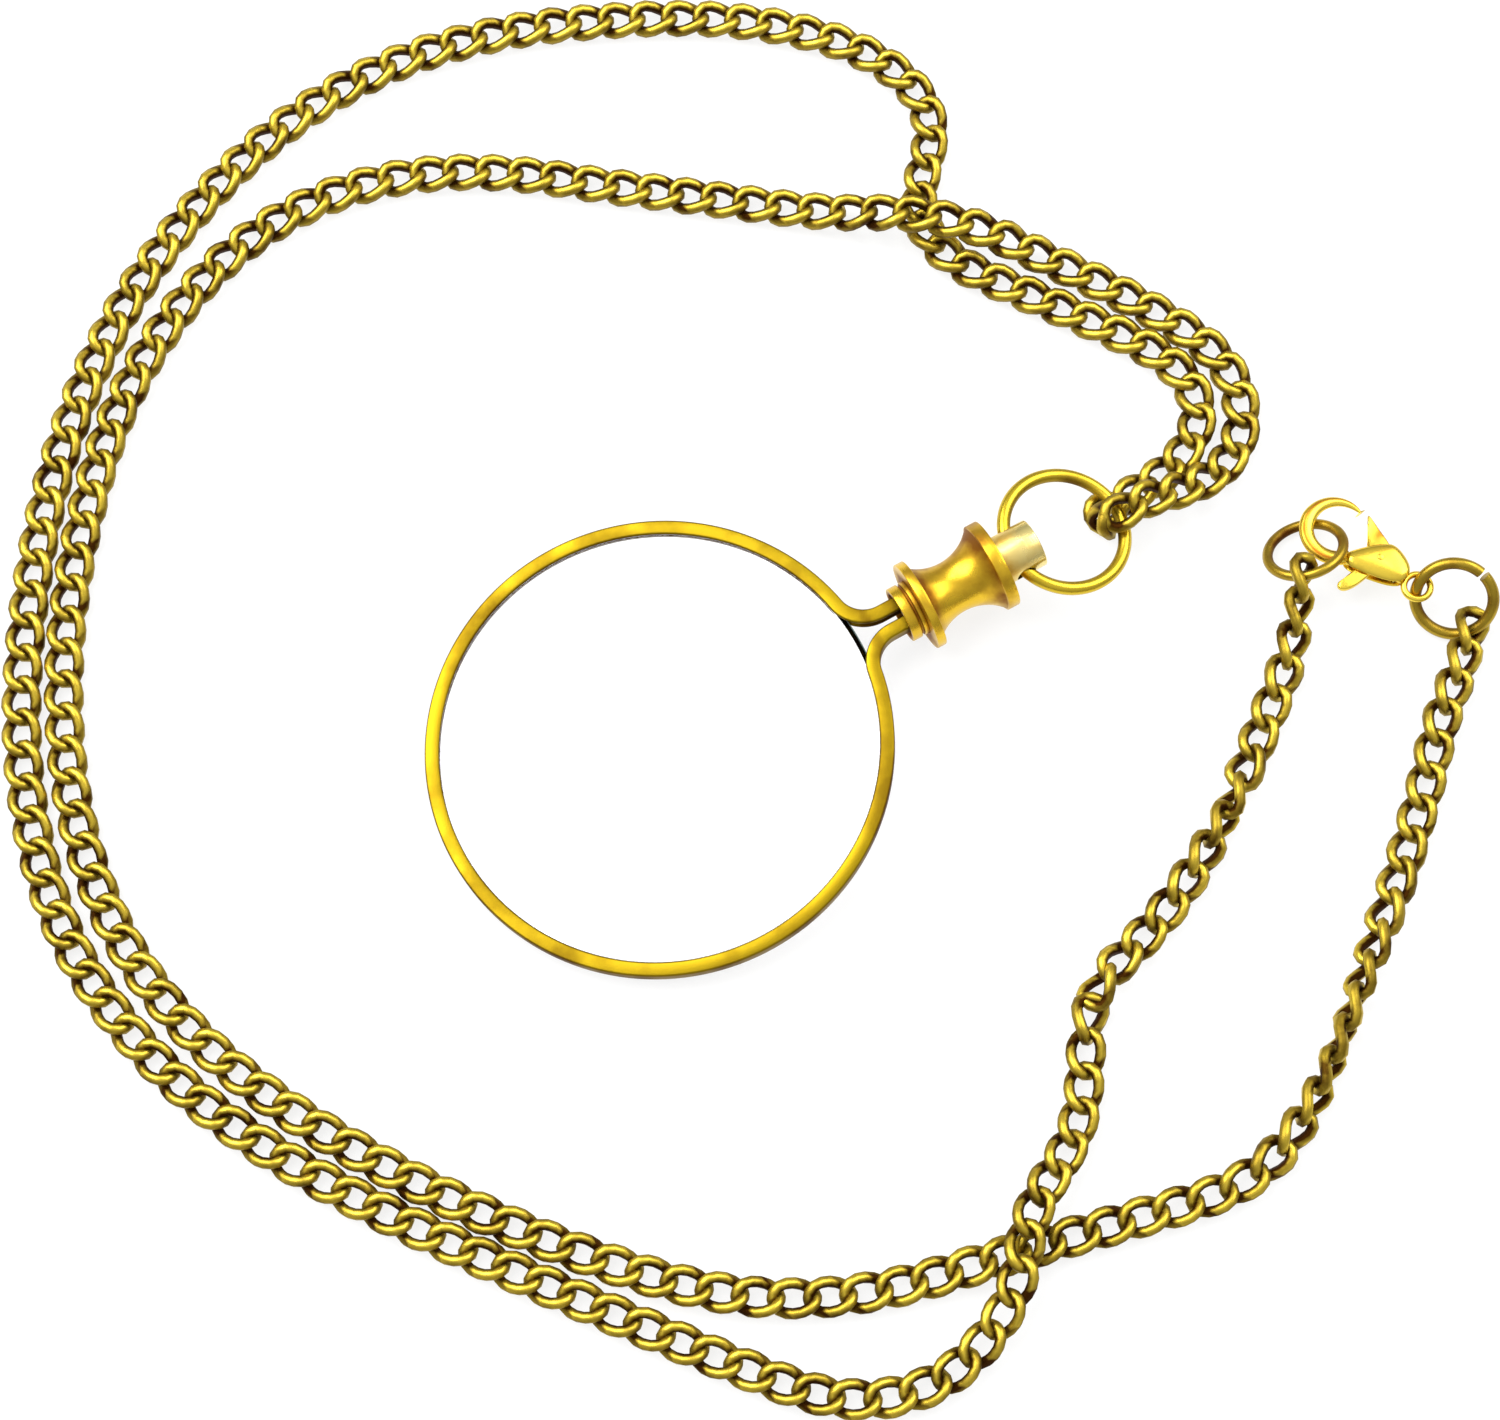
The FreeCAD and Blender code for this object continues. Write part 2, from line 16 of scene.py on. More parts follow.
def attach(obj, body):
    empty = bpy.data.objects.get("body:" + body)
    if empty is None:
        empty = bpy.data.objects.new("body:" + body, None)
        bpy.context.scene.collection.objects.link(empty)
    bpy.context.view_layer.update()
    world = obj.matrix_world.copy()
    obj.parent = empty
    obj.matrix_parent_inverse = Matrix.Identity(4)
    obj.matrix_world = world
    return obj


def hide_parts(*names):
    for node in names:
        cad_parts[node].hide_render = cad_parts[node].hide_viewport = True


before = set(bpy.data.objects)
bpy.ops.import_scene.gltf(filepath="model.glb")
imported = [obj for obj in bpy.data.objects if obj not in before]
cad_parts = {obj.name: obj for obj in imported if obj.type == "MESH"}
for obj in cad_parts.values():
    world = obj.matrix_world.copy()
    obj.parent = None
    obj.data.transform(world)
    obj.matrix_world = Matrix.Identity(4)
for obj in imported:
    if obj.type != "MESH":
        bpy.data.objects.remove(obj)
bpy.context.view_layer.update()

# %% [markdown]
# ## The camera
#
# The picture is taken from almost straight above, leaning 17.5 degrees towards
# the near edge of the table, and the glass lies turned in it by 28.5 degrees.
# A camera could be aimed by a constraint, but that would not turn the picture
# about the line of sight. So its three axes are the columns of a matrix:
# right, up and back. A camera looks along its own -Z, which is why the third
# one points back from what it looks at.

# %% Camera
MM = 0.001
camera_at = Vector((-48.8, -81.67, 293.75)) * MM
aimed_at = Vector((-4.61, -0.28, 0.0)) * MM
glass_turn = math.radians(28.5)
right = Vector((math.cos(glass_turn), -math.sin(glass_turn), 0))
back = (camera_at - aimed_at).normalized()
axes = Matrix((right, back.cross(right), back)).transposed().to_4x4()
camera = bpy.data.objects.new("camera", bpy.data.cameras.new("camera"))
camera.data.sensor_width = 36
camera.data.lens = 76.8
camera.matrix_world = Matrix.Translation(camera_at) @ axes
bpy.context.scene.collection.objects.link(camera)
bpy.context.scene.camera = camera
bpy.context.scene.view_settings.view_transform = "Standard"
print("camera distance in mm:", round((camera_at - aimed_at).length * 1000, 1))

# %% [markdown]
# ## Making a piece
#
# All pieces are modelled in millimetres, because mesh tools such as bevel and merge work badly on
# shapes a thousandth of a unit wide. An object could be moved and scaled to its place, but a
# pattern that follows the object's own axes would then move with it. So the mesh itself is moved
# and scaled to metres, and its object stays at the origin. Edges that turn sharply are marked
# sharp, and the rest shade smooth.

# %% Turn a bmesh into a piece
def make_piece(name, bm, body, material, place=Matrix(), sharp=40):
    """A finished piece from a bmesh in millimetres, riding on a body."""
    bm.transform(Matrix.Scale(MM, 4) @ place)
    for face in bm.faces:
        face.smooth = True
    for edge in bm.edges:
        edge.smooth = len(edge.link_faces) < 2 or edge.calc_face_angle(0) < math.radians(sharp)
    mesh = bpy.data.meshes.new(name)
    bm.to_mesh(mesh)
    bm.free()
    piece = bpy.data.objects.new(name, mesh)
    bpy.context.scene.collection.objects.link(piece)
    mesh.materials.append(material)
    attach(piece, body)
    print(name, "faces", len(mesh.polygons))
    return piece

# %% [markdown]
# ## A node in one line
#
# A finish in Blender is a graph of nodes. It could be drawn by hand in the
# shader editor, but then it could not be read here. This helper keeps the
# written graph short: it adds one node and fills in what is given of its
# settings and of its inputs, by name or by number.

# %% Helper for the nodes of a finish
def add_node(nodes, kind, inputs=None, **settings):
    """A new shader node, with some settings and inputs filled in."""
    node = nodes.new("ShaderNode" + kind)
    for name, value in settings.items():
        setattr(node, name, value)
    for name, value in (inputs or {}).items():
        node.inputs[name].default_value = value
    return node

# %% [markdown]
# ## Antiqued brass
#
# All the metal here is brass, but each piece is finished differently. Old brass is bright where it
# rubs and brown where it doesn't. The dark colour here is patina together with painted shade: it
# darkens sides, recesses and parts under a neighbour, such as inside the links, where shade falls.
# An image could be painted for each piece, but one recipe of nodes serves them all and stays sharp
# at any size. It mixes a bright and a dark colour by two things: a value that each mesh carries at
# its points, which is its share of patina and painted shade, and a cloudy noise. A second, finer
# noise gives the satin of small scratches. Lengths in a finish are metres, because the pieces'
# are.

# %% The recipe for a metal
SCRATCH_SCALE = 6000
MARK_DEPTH = 0.00005


def metal(name, bright, tarnish_and_shade, roughness, clouds=350, patches=0.5, grain=0.12):
    """Brass with patina and painted shade from a value at its points, cloudy patches and a fine
    grain.
    """
    material = bpy.data.materials.new(name)
    material.use_nodes = True
    nodes, links = material.node_tree.nodes, material.node_tree.links
    shader = nodes["Principled BSDF"]
    shader.inputs["Metallic"].default_value = 1.0
    place = add_node(nodes, "TexCoord")
    # The value at the points paints patina together with shade on sides, in recesses and under
    # neighbours.
    hollow = add_node(nodes, "Attribute", attribute_name="hollow")
    cloud = add_node(nodes, "TexNoise", {"Scale": clouds, "Detail": 4})
    patch = add_node(nodes, "MapRange", {"From Min": 0.45, "From Max": 0.7, "To Max": patches})
    patina_shade_and_patches = add_node(nodes, "Math", operation="ADD", use_clamp=True)
    colour = add_node(nodes, "Mix", {6: (*bright, 1), 7: (*tarnish_and_shade, 1)}, data_type="RGBA")
    rough = add_node(nodes, "MapRange", {"To Min": roughness, "To Max": min(roughness + 0.3, 0.7)})
    scratches = add_node(nodes, "TexNoise", {"Scale": SCRATCH_SCALE, "Detail": 3})
    bump = add_node(nodes, "Bump", {"Strength": grain, "Distance": MARK_DEPTH})
    links.new(place.outputs["Object"], cloud.inputs["Vector"])
    links.new(cloud.outputs["Fac"], patch.inputs["Value"])
    links.new(hollow.outputs["Fac"], patina_shade_and_patches.inputs[0])
    links.new(patch.outputs["Result"], patina_shade_and_patches.inputs[1])
    links.new(patina_shade_and_patches.outputs["Value"], colour.inputs[0])
    links.new(colour.outputs[2], shader.inputs["Base Color"])
    links.new(patina_shade_and_patches.outputs["Value"], rough.inputs["Value"])
    links.new(rough.outputs["Result"], shader.inputs["Roughness"])
    links.new(place.outputs["Object"], scratches.inputs["Vector"])
    links.new(scratches.outputs["Fac"], bump.inputs["Height"])
    links.new(bump.outputs["Normal"], shader.inputs["Normal"])
    return material


chain_brass = metal("chain_brass", (0.82, 0.60, 0.06), (0.05, 0.017, 0.002), 0.31, patches=0.35)
print("finish of the chain:", chain_brass.name)

# %% [markdown]
# ## The routes of the two strands
#
# The chain is a long necklace, looped through the handle's ring and laid out
# on the table in two strands. Its links could be placed one by one, but a few
# points that steer a smooth curve are easier to set and to change. They are
# the points of the construction model, but for seven near the lower crossing
# that give this thicker chain more room. A point gives x and y from the far
# side of the ring, the height in chain thicknesses, and how far the chain has
# turned about its own length there, in degrees.

# %% Routes of the two strands
HITCH_AT = 36.052
RING_FAR_Z = 2.765
CHAIN_THICK = 2.02
CHAIN_REST = 0.2
OUTER_ROUTE = (
    (1.3, 0.86, 0.56, 8), (4.6, 1.0, 0.52, 0), (9.5, 1.9, 0.52, 0), (14.0, 5.9, 0.51, 0),
    (13.2, 12.0, 0.50, 0), (9.4, 17.4, 0.50, 0), (5.7, 22.6, 0.50, 0),
    (2.2, 27.2, 0.50, 0), (-0.6, 31.2, 0.50, 0), (-1.8, 36.1, 0.50, 0),
    (1.0, 40.7, 0.50, 0), (4.9, 44.1, 0.50, 0), (6.1, 49.0, 0.50, 0),
    (4.3, 54.5, 0.50, 0), (0.0, 60.2, 0.50, 0), (-7.6, 66.3, 0.50, 0),
    (-16.5, 71.0, 0.50, 0), (-28.0, 75.8, 0.50, 0),
    (-40.6, 78.2, 0.50, 0), (-53.5, 77.0, 0.50, 0), (-66.4, 72.2, 0.50, 0),
    (-78.2, 64.9, 0.50, 0), (-89.4, 53.7, 0.50, 0), (-98.6, 40.2, 0.50, 0),
    (-105.2, 26.6, 0.50, 0), (-108.4, 11.8, 0.50, 0), (-106.8, -1.6, 0.50, 0),
    (-101.9, -14.0, 0.50, 0), (-93.2, -27.3, 0.50, 0), (-82.6, -40.8, 0.50, 0),
    (-72.2, -53.6, 0.50, 0), (-64.8, -62.2, 0.50, 0), (-56.6, -64.9, 0.50, 0),
    (-50.9, -63.6, 0.86, 0), (-45.7, -60.7, 1.56, 0), (-41.9, -55.2, 1.62, 0),
    (-37.4, -53.0, 1.00, 0), (-32.6, -50.0, 0.55, 0),
    (-28.3, -42.8, 0.62, 0), (-25.2, -39.4, 0.95, 150),
    (-17.4, -37.6, 0.62, 185), (-8.2, -32.8, 1.05, 230),
    (-1.4, -27.8, 0.72, 340), (3.4, -24.0, 0.58, 365), (7.8, -20.4, 0.96, 400),
    (10.4, -16.9, 1.50, 425), (12.6, -13.8, 2.22, 440),
)
INNER_ROUTE = (
    (1.66, -0.86, 2.21, 0), (4.6, -1.3, 1.96, 0), (9.0, -1.6, 1.04, 0), (13.1, -0.8, 0.55, 0),
    (16.9, 2.8, 0.50, 0), (18.2, 9.0, 0.50, 0), (15.6, 15.0, 0.50, 0),
    (11.8, 21.3, 0.50, 0), (7.6, 27.2, 0.62, 0), (2.9, 32.6, 1.72, 0),
    (-3.0, 37.5, 1.72, 0), (-8.6, 41.4, 0.52, 0),
    (-19.0, 49.2, 0.50, 0), (-27.3, 55.2, 0.50, 0), (-35.2, 61.4, 0.50, 0),
    (-44.2, 66.0, 0.50, 0), (-54.0, 68.0, 0.50, 0), (-63.8, 66.8, 0.50, 0),
    (-72.7, 62.8, 0.50, 0), (-81.6, 56.2, 0.50, 0), (-90.2, 45.9, 0.50, 0),
    (-97.2, 34.6, 0.50, 0), (-102.3, 21.6, 0.50, 0), (-103.9, 8.6, 0.50, 0),
    (-101.9, -3.0, 0.50, 0), (-97.2, -14.0, 0.50, 0), (-88.6, -27.4, 0.50, 0),
    (-78.2, -40.2, 0.50, 0), (-68.6, -49.4, 0.50, 0), (-57.4, -55.0, 0.50, 0),
    (-44.4, -57.6, 0.50, 0), (-32.4, -60.4, 0.54, 0), (-21.6, -62.8, 0.62, 10),
    (-13.0, -58.9, 0.92, 62), (-4.4, -51.9, 0.98, 100), (4.0, -45.2, 0.85, 150),
    (11.6, -38.4, 0.62, 180), (17.2, -32.4, 0.95, 195), (21.5, -29.4, 0.92, 215),
    (25.1, -25.7, 0.78, 225),
)
print("points:", len(OUTER_ROUTE), "and", len(INNER_ROUTE))

# %% [markdown]
# ## The smooth line of a route
#
# Blender's NURBS spline of order 3 passes close to its points and has no kink.
# It could carry the links by a Curve modifier, but that bends each link. So
# only its line is taken: the curve is made a mesh for a moment, and the
# places of its vertices are kept.

# %% Read the smooth line of a route
def route_line(name, route):
    """Closely spaced points on the NURBS curve that a route steers, in mm."""
    curve = bpy.data.curves.new(name, "CURVE")
    curve.dimensions = "3D"
    spline = curve.splines.new("NURBS")
    spline.points.add(len(route) - 1)
    for point, (x, y, thicknesses, _) in zip(spline.points, route):
        point.co = (HITCH_AT + x, y, CHAIN_REST + thicknesses * CHAIN_THICK, 1)
    spline.order_u = 3
    spline.use_endpoint_u = True
    spline.resolution_u = 24
    holder = bpy.data.objects.new(name, curve)
    mesh = bpy.data.meshes.new_from_object(holder)
    line = [vertex.co.copy() for vertex in mesh.vertices]
    bpy.data.meshes.remove(mesh)
    bpy.data.objects.remove(holder)
    bpy.data.curves.remove(curve)
    return line


def line_length(line):
    """The length of a line of points."""
    return sum((b - a).length for a, b in zip(line, line[1:]))


outer_line = route_line("outer_route", OUTER_ROUTE)
inner_line = route_line("inner_route", INNER_ROUTE)
print("strands in mm:", round(line_length(outer_line), 1), round(line_length(inner_line), 1))

# %% [markdown]
# ## One link
#
# A curb chain's links are all the same. Each is an oval of wire that is
# twisted, so that it passes flat through its neighbours. It could be a curve
# with a round bevel, but a mesh can be copied many times into one piece. So a
# ring of wire is spun first, and each of its points is moved to the twisted
# oval. The sign of the rise says which way it is twisted. The link has few
# faces, because the chain has hundreds of it, and smooth shading rounds them.
# The dark colour lies on the inner and the outer side of the wire and where a neighbour covers it.
# It is painted shade together with patina. The parts that stand up keep the bright colour of worn
# brass.

# %% Model of one link
LINK_LENGTH = 5.2
LINK_WIDTH = 3.92
LINK_WIRE = 1.14
LINK_RISE = -0.62
SPUN_R = 2.0


def link_shade_and_patina(side, face, around):
    """Painted shade and patina of a point that lies side outwards and face up on the wire."""
    inner_side = 0.1 - 1.3 * side
    outer_side = 1.4 * side - 0.6
    covered = 1.35 * face * math.sin(2 * around)
    return min(1.0, max(0.0, inner_side, outer_side, covered))


def link_model():
    """A twisted oval of wire round Z, with its length along X."""
    bm = bmesh.new()
    bmesh.ops.create_circle(
        bm, segments=6, radius=LINK_WIRE / 2,
        matrix=Matrix.Translation((SPUN_R, 0, 0)) @ Matrix.Rotation(math.pi / 2, 4, "X"))
    bmesh.ops.spin(bm, geom=bm.verts[:] + bm.edges[:], axis=(0, 0, 1), cent=(0, 0, 0),
                   angle=math.tau, steps=16, use_merge=True)
    hollow = bm.verts.layers.float.new("hollow")
    half_length = (LINK_LENGTH - LINK_WIRE) / 2
    half_width = (LINK_WIDTH - LINK_WIRE) / 2
    for vertex in bm.verts:
        t = math.atan2(vertex.co.y, vertex.co.x)
        out = math.hypot(vertex.co.x, vertex.co.y) - SPUN_R
        up = vertex.co.z
        middle = Vector((half_length * math.cos(t), half_width * math.sin(t),
                         LINK_RISE * math.sin(2 * t)))
        ahead = Vector((-half_length * math.sin(t), half_width * math.cos(t),
                        2 * LINK_RISE * math.cos(2 * t))).normalized()
        above = (Vector((0, 0, 1)) - ahead * ahead.z).normalized()
        vertex.co = middle + ahead.cross(above) * out + above * up
        # painted shade and patina: the wire's sides and the parts under a neighbour are darker
        vertex[hollow] = link_shade_and_patina(out / (LINK_WIRE / 2), up / (LINK_WIRE / 2), t)
    bmesh.ops.recalc_face_normals(bm, faces=bm.faces)
    mesh = bpy.data.meshes.new("link_model")
    bm.to_mesh(mesh)
    bm.free()
    return mesh


link_mesh = link_model()
print("one link has", len(link_mesh.polygons), "faces")

# %% [markdown]
# ## The place of each link
#
# An Array modifier could repeat the link, but it can't turn the links where
# the chain turns over. So the smooth line is divided into equal steps of about
# one pitch, and each step gives a link its own matrix: its length, its width
# and its thickness are the columns. The width lies flat on the table and then
# turns with the chain. The curve's parameter runs from point to point, so a
# share of it says between which two points of the route a link lies.

# %% Places of the links along a line
PITCH = 3.28


def link_place(middle, along, across, turn):
    """The matrix of a link, with its width across before it turns."""
    side = (across - along * across.dot(along)).normalized()
    up = along.cross(side)
    width = side * math.cos(math.radians(turn)) + up * math.sin(math.radians(turn))
    spin = Matrix((along, width, along.cross(width))).transposed().to_4x4()
    return Matrix.Translation(middle) @ spin


def turn_at(route, share):
    """How far the chain has turned, at a share of the curve's parameter."""
    number = share * (len(route) - 2) + 0.5
    before = int(number)
    part = number - before
    return route[before][3] * (1 - part) + route[before + 1][3] * part


def link_places(line, route):
    """A place for each link, one pitch apart along the line."""
    steps = round(line_length(line) / PITCH)
    half_step = line_length(line) / steps / 2
    marks, walked, wanted = [], 0.0, 0.0
    for number, (a, b) in enumerate(zip(line, line[1:])):
        run = (b - a).length
        while wanted <= walked + run and len(marks) <= 2 * steps:
            part = (wanted - walked) / run
            marks.append((a.lerp(b, part), (number + part) / (len(line) - 1)))
            wanted += half_step
        walked += run
    if len(marks) == 2 * steps:  # rounding can leave out the very end
        marks.append((line[-1], 1.0))
    places = []
    for number in range(0, 2 * steps, 2):
        start, end = marks[number][0], marks[number + 2][0]
        along = (end - start).normalized()
        turn = turn_at(route, marks[number + 1][1])
        places.append(link_place((start + end) / 2, along, Vector((0, 0, 1)).cross(along), turn))
    return places


outer_places = link_places(outer_line, OUTER_ROUTE)
inner_places = link_places(inner_line, INNER_ROUTE)
print("links:", len(outer_places), "and", len(inner_places))

# %% [markdown]
# ## The two strands
#
# Each link could be an object, but hundreds of objects are slow to handle and
# no link moves by itself here. So each strand is one mesh, into which the link
# is copied at each of its places.

# %% Two strands of links
def add_links(bm, places):
    """Copies of the link in a bmesh, one at each place."""
    for place in places:
        before = len(bm.verts)
        bm.from_mesh(link_mesh)
        bm.verts.ensure_lookup_table()
        bmesh.ops.transform(bm, matrix=place, verts=bm.verts[before:])


def chain_piece(name, places):
    """Links of the chain as a single piece."""
    bm = bmesh.new()
    add_links(bm, places)
    piece = make_piece(name, bm, "chain", chain_brass, sharp=80)
    return piece


outer_strand = chain_piece("outer_strand", outer_places)
inner_strand = chain_piece("inner_strand", inner_places)
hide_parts(*["outer_chain_%d" % n for n in range(1, 7)])
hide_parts(*["inner_chain_%d" % n for n in range(1, 7)])

# %% [markdown]
# ## The links round the ring
#
# Where the chain goes through the handle's ring, three links pass over the
# wire, down inside the ring and out under it. They could end the two routes,
# but the bend is tighter than a link is long. So they are set one by one: each
# has its middle, seen from the far side of the ring, the way its length points
# and a turn in degrees. Each lies a little to the side of the last.

# %% Links through the handle's ring
HITCH_LINKS = (
    ((0.00, -1.00, 1.78), (-1, 0, 0), 0),
    ((-1.85, -0.55, 0.04), (0, 0, -1), 8),
    ((-0.34, 0.80, -1.42), (1, 0, 0), -8),
)
ring_far = Vector((HITCH_AT, 0, RING_FAR_Z))
looped_links = chain_piece("looped_links", [
    link_place(ring_far + Vector(middle), Vector(along), Vector((0, -1, 0)), turn)
    for middle, along, turn in HITCH_LINKS])
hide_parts("hitch_links")

# %% [markdown]
# ## Turned pieces, and the place of the glass
#
# The lens and the parts of the handle are each round about one axis. They
# could be built up from discs and cones, but half of the section, spun round
# the axis, gives every step and curve at once. A section is a list of pairs:
# radius and height for the lens, which is spun about Z, and place along the
# axis and radius for the handle, which is spun about X. The bevel op softens
# each rim, as a polisher would. The whole glass rests tilted on its rim and on
# the front flange of the handle, and one matrix puts all of it there.

# %% Place of the glass, and a helper for turned pieces
TILT = math.radians(4.203)
LENS_AT = (-14.276, 0, 2.440)
ABOUT_X, ABOUT_Z = (1, 0, 0), (0, 0, 1)
RIM_ANGLE = math.radians(35)
glass_place = Matrix.Translation(LENS_AT) @ Matrix.Rotation(-TILT, 4, "Y")


def turned(section, axis, steps=96, bevel=0.0):
    """A solid of revolution from half of its section, with soft edges."""
    bm = bmesh.new()
    corners = [bm.verts.new((x, 0, z)) for x, z in section]
    for a, b in zip(corners, corners[1:]):
        bm.edges.new((a, b))
    bmesh.ops.spin(bm, geom=bm.verts[:] + bm.edges[:], axis=axis, cent=(0, 0, 0),
                   angle=math.tau, steps=steps, use_merge=True)
    bmesh.ops.remove_doubles(bm, verts=bm.verts, dist=0.0005)
    bmesh.ops.recalc_face_normals(bm, faces=bm.faces)
    if bevel:
        rims = [e for e in bm.edges if e.calc_face_angle(0) > RIM_ANGLE]
        bmesh.ops.bevel(bm, geom=rims, affect="EDGES", offset=bevel, segments=3,
                        profile=0.5, material=-1, clamp_overlap=True)
    return bm


print("the glass is tilted by", round(math.degrees(TILT), 1), "degrees")

# %% [markdown]
# ## The lens
#
# The lens is a thin biconvex disc of clear glass. Its edge is ground to a
# blunt V that sits in the groove of the wire, and the grinding leaves it matt.
# It could be cut from two spheres by a Boolean, but a spun section has tidier
# faces. It runs from the middle of the upper face to the middle of the lower
# one. The tip of the V shows in the gap at the neck, so its faces have a matt
# glass of their own.

# %% Shape of the lens
LENS_R = 21.7
LENS_SEAT = 21.0
LENS_CROWN = 0.8
LENS_EDGE = 1.0
GROUND_R = 21.58
GROUND_HIGH = 0.172
CROWN_STEPS = 12
crown_r = (LENS_SEAT ** 2 + LENS_CROWN ** 2) / (2 * LENS_CROWN)
upper = []
for step in range(CROWN_STEPS + 1):
    r = LENS_SEAT * step / CROWN_STEPS
    upper.append((r, LENS_EDGE / 2 + LENS_CROWN - crown_r + math.sqrt(crown_r ** 2 - r ** 2)))
lower = [(r, -z) for r, z in reversed(upper)]
ground = [(GROUND_R, GROUND_HIGH / 2), (LENS_R, 0), (GROUND_R, -GROUND_HIGH / 2)]
lens_bm = turned(upper + ground + lower, ABOUT_Z, steps=128)
for face in lens_bm.faces:
    middle = face.calc_center_median()
    face.material_index = 1 if math.hypot(middle.x, middle.y) > GROUND_R else 0
print("radius of the lens's faces in mm:", round(crown_r))

# %% [markdown]
# ## Glass
#
# Clear glass bends light and has no colour of its own. A Glass shader would do for the lens alone.
# The Principled one also makes its matt edge, which is rougher and lets only a part of the light
# through. The edge's dark green colour is painted: it stands in for the dark line that the edge of
# a lens shows against the light.

# %% Clear and ground glass
def glass_finish(name, colour, roughness, transmission):
    """A glass, clear or ground."""
    material = bpy.data.materials.new(name)
    material.use_nodes = True
    inputs = material.node_tree.nodes["Principled BSDF"].inputs
    inputs["Base Color"].default_value = (*colour, 1)
    inputs["Roughness"].default_value = roughness
    inputs["IOR"].default_value = 1.45
    inputs["Transmission Weight"].default_value = transmission
    return material


lens_glass = glass_finish("lens_glass", (1, 1, 1), 0.0, 1.0)
# the dark green of the edge is a painted dark line, not the glass's own colour
ground_edge_painted_dark = glass_finish("ground_edge_painted_dark", (0.08, 0.13, 0.12), 0.55, 0.4)
lens = make_piece("lens_disc", lens_bm, "glass", lens_glass, glass_place, sharp=20)
lens.data.materials.append(ground_edge_painted_dark)
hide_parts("lens")

# %% [markdown]
# ## The shape of the rim
#
# The rim is a single length of square brass wire with a groove along its inner
# side. It starts inside the handle, runs out, bends out at the neck, goes once
# round the lens and comes back beside its own start. A curve with this section
# as its bevel could follow the same way, but it would need its corners tuned.
# So the wire is made as it is bent: its section is pushed along each straight
# and spun round each bend.

# %% Bend the rim wire
RIM_MID = 21.7
TAIL_Y = 1.05
NECK_BEND = 3.4
NECK_ANGLE = math.asin((TAIL_Y + NECK_BEND) / (RIM_MID + NECK_BEND))
NECK_X = (RIM_MID + NECK_BEND) * math.cos(NECK_ANGLE)
MOUTH_X = NECK_X + 1.5
TAIL_END = MOUTH_X + 5.0
WIRE_WIDE = 1.4
WIRE_HIGH = 1.6
WIRE_SOFT = 0.2
GROOVE_HIGH = 1.1
GROOVE_DEEP = 0.74


def push(bm, ring, by):
    """Push a loop of edges along a straight; returns the new loop."""
    made = bmesh.ops.extrude_edge_only(bm, edges=ring)["geom"]
    bmesh.ops.translate(bm, vec=by, verts=[v for v in made if isinstance(v, bmesh.types.BMVert)])
    return [e for e in made if isinstance(e, bmesh.types.BMEdge)]


def bend(bm, ring, centre, degrees, steps):
    """Spin a loop of edges round a bend; returns the new loop."""
    verts = {v for e in ring for v in e.verts}
    made = bmesh.ops.spin(bm, geom=list(verts) + ring, cent=centre, axis=(0, 0, 1),
                          angle=math.radians(degrees), steps=steps)["geom_last"]
    return [e for e in made if isinstance(e, bmesh.types.BMEdge)]


near, far = TAIL_Y - WIRE_WIDE / 2, TAIL_Y + WIRE_WIDE / 2
top, lip = WIRE_HIGH / 2, GROOVE_HIGH / 2
section = [(near, lip), (near, top), (far, top), (far, -top), (near, -top), (near, -lip),
           (near + GROOVE_DEEP, 0)]
rim_bm = bmesh.new()
rim_bm.faces.new([rim_bm.verts.new((TAIL_END, y, z)) for y, z in section])
corners = [v for v in rim_bm.verts if abs(v.co.z) > top - 0.1]
bmesh.ops.bevel(rim_bm, geom=corners, affect="VERTICES", offset=WIRE_SOFT, segments=4,
                profile=0.5, material=-1)
neck = math.degrees(math.pi / 2 - NECK_ANGLE)
ring = push(rim_bm, rim_bm.edges[:], (NECK_X - TAIL_END, 0, 0))
ring = bend(rim_bm, ring, (NECK_X, TAIL_Y + NECK_BEND, 0), -neck, 20)
ring = bend(rim_bm, ring, (0, 0, 0), 360 - 2 * math.degrees(NECK_ANGLE), 150)
ring = bend(rim_bm, ring, (NECK_X, -TAIL_Y - NECK_BEND, 0), -neck, 20)
ring = push(rim_bm, ring, (TAIL_END - NECK_X, 0, 0))
bmesh.ops.holes_fill(rim_bm, edges=ring, sides=0)
bmesh.ops.remove_doubles(rim_bm, verts=rim_bm.verts, dist=0.0005)
bmesh.ops.recalc_face_normals(rim_bm, faces=rim_bm.faces)
print("the neck bends by", round(neck, 1), "degrees")

# %% [markdown]
# ## The finish of the rim
#
# The rim is a deeper yellow than the chain. Its top keeps the bright colour. Painted shade darkens
# both walls of the wire and its underside. Painted shadow darkens the groove under the lens edge
# and the wire where it goes into the handle, with patina in the same places. The dark parts could
# be picked by hand, but a rule on each point's place is exact and stays right when a size changes.

# %% Rim wire
def mark_hollows(bm, rule):
    """Gives each point its share of patina and painted shade, from a rule on its place."""
    layer = bm.verts.layers.float.new("hollow")
    for vertex in bm.verts:
        vertex[layer] = rule(vertex.co)


def rim_shade_and_patina(at):
    """Painted shade and patina on the rim wire."""
    from_middle = math.hypot(at.x, at.y) - RIM_MID
    # painted shade on the walls and underside, painted shadow in the groove and at the mouth
    round_lens = min(1.0, max(0.0, (NECK_X - 1 - at.x) / 3))
    walls = max(0.0, abs(from_middle) - 0.5) * 2.5 * round_lens
    groove = 1.0 if from_middle < 0.2 and abs(at.z) < 0.6 else 0.0
    near_mouth = max(0.0, (at.x - NECK_X) / 2)
    underneath = 0.3 - 0.4 * at.z
    return min(1.0, max(underneath, walls, groove, near_mouth))


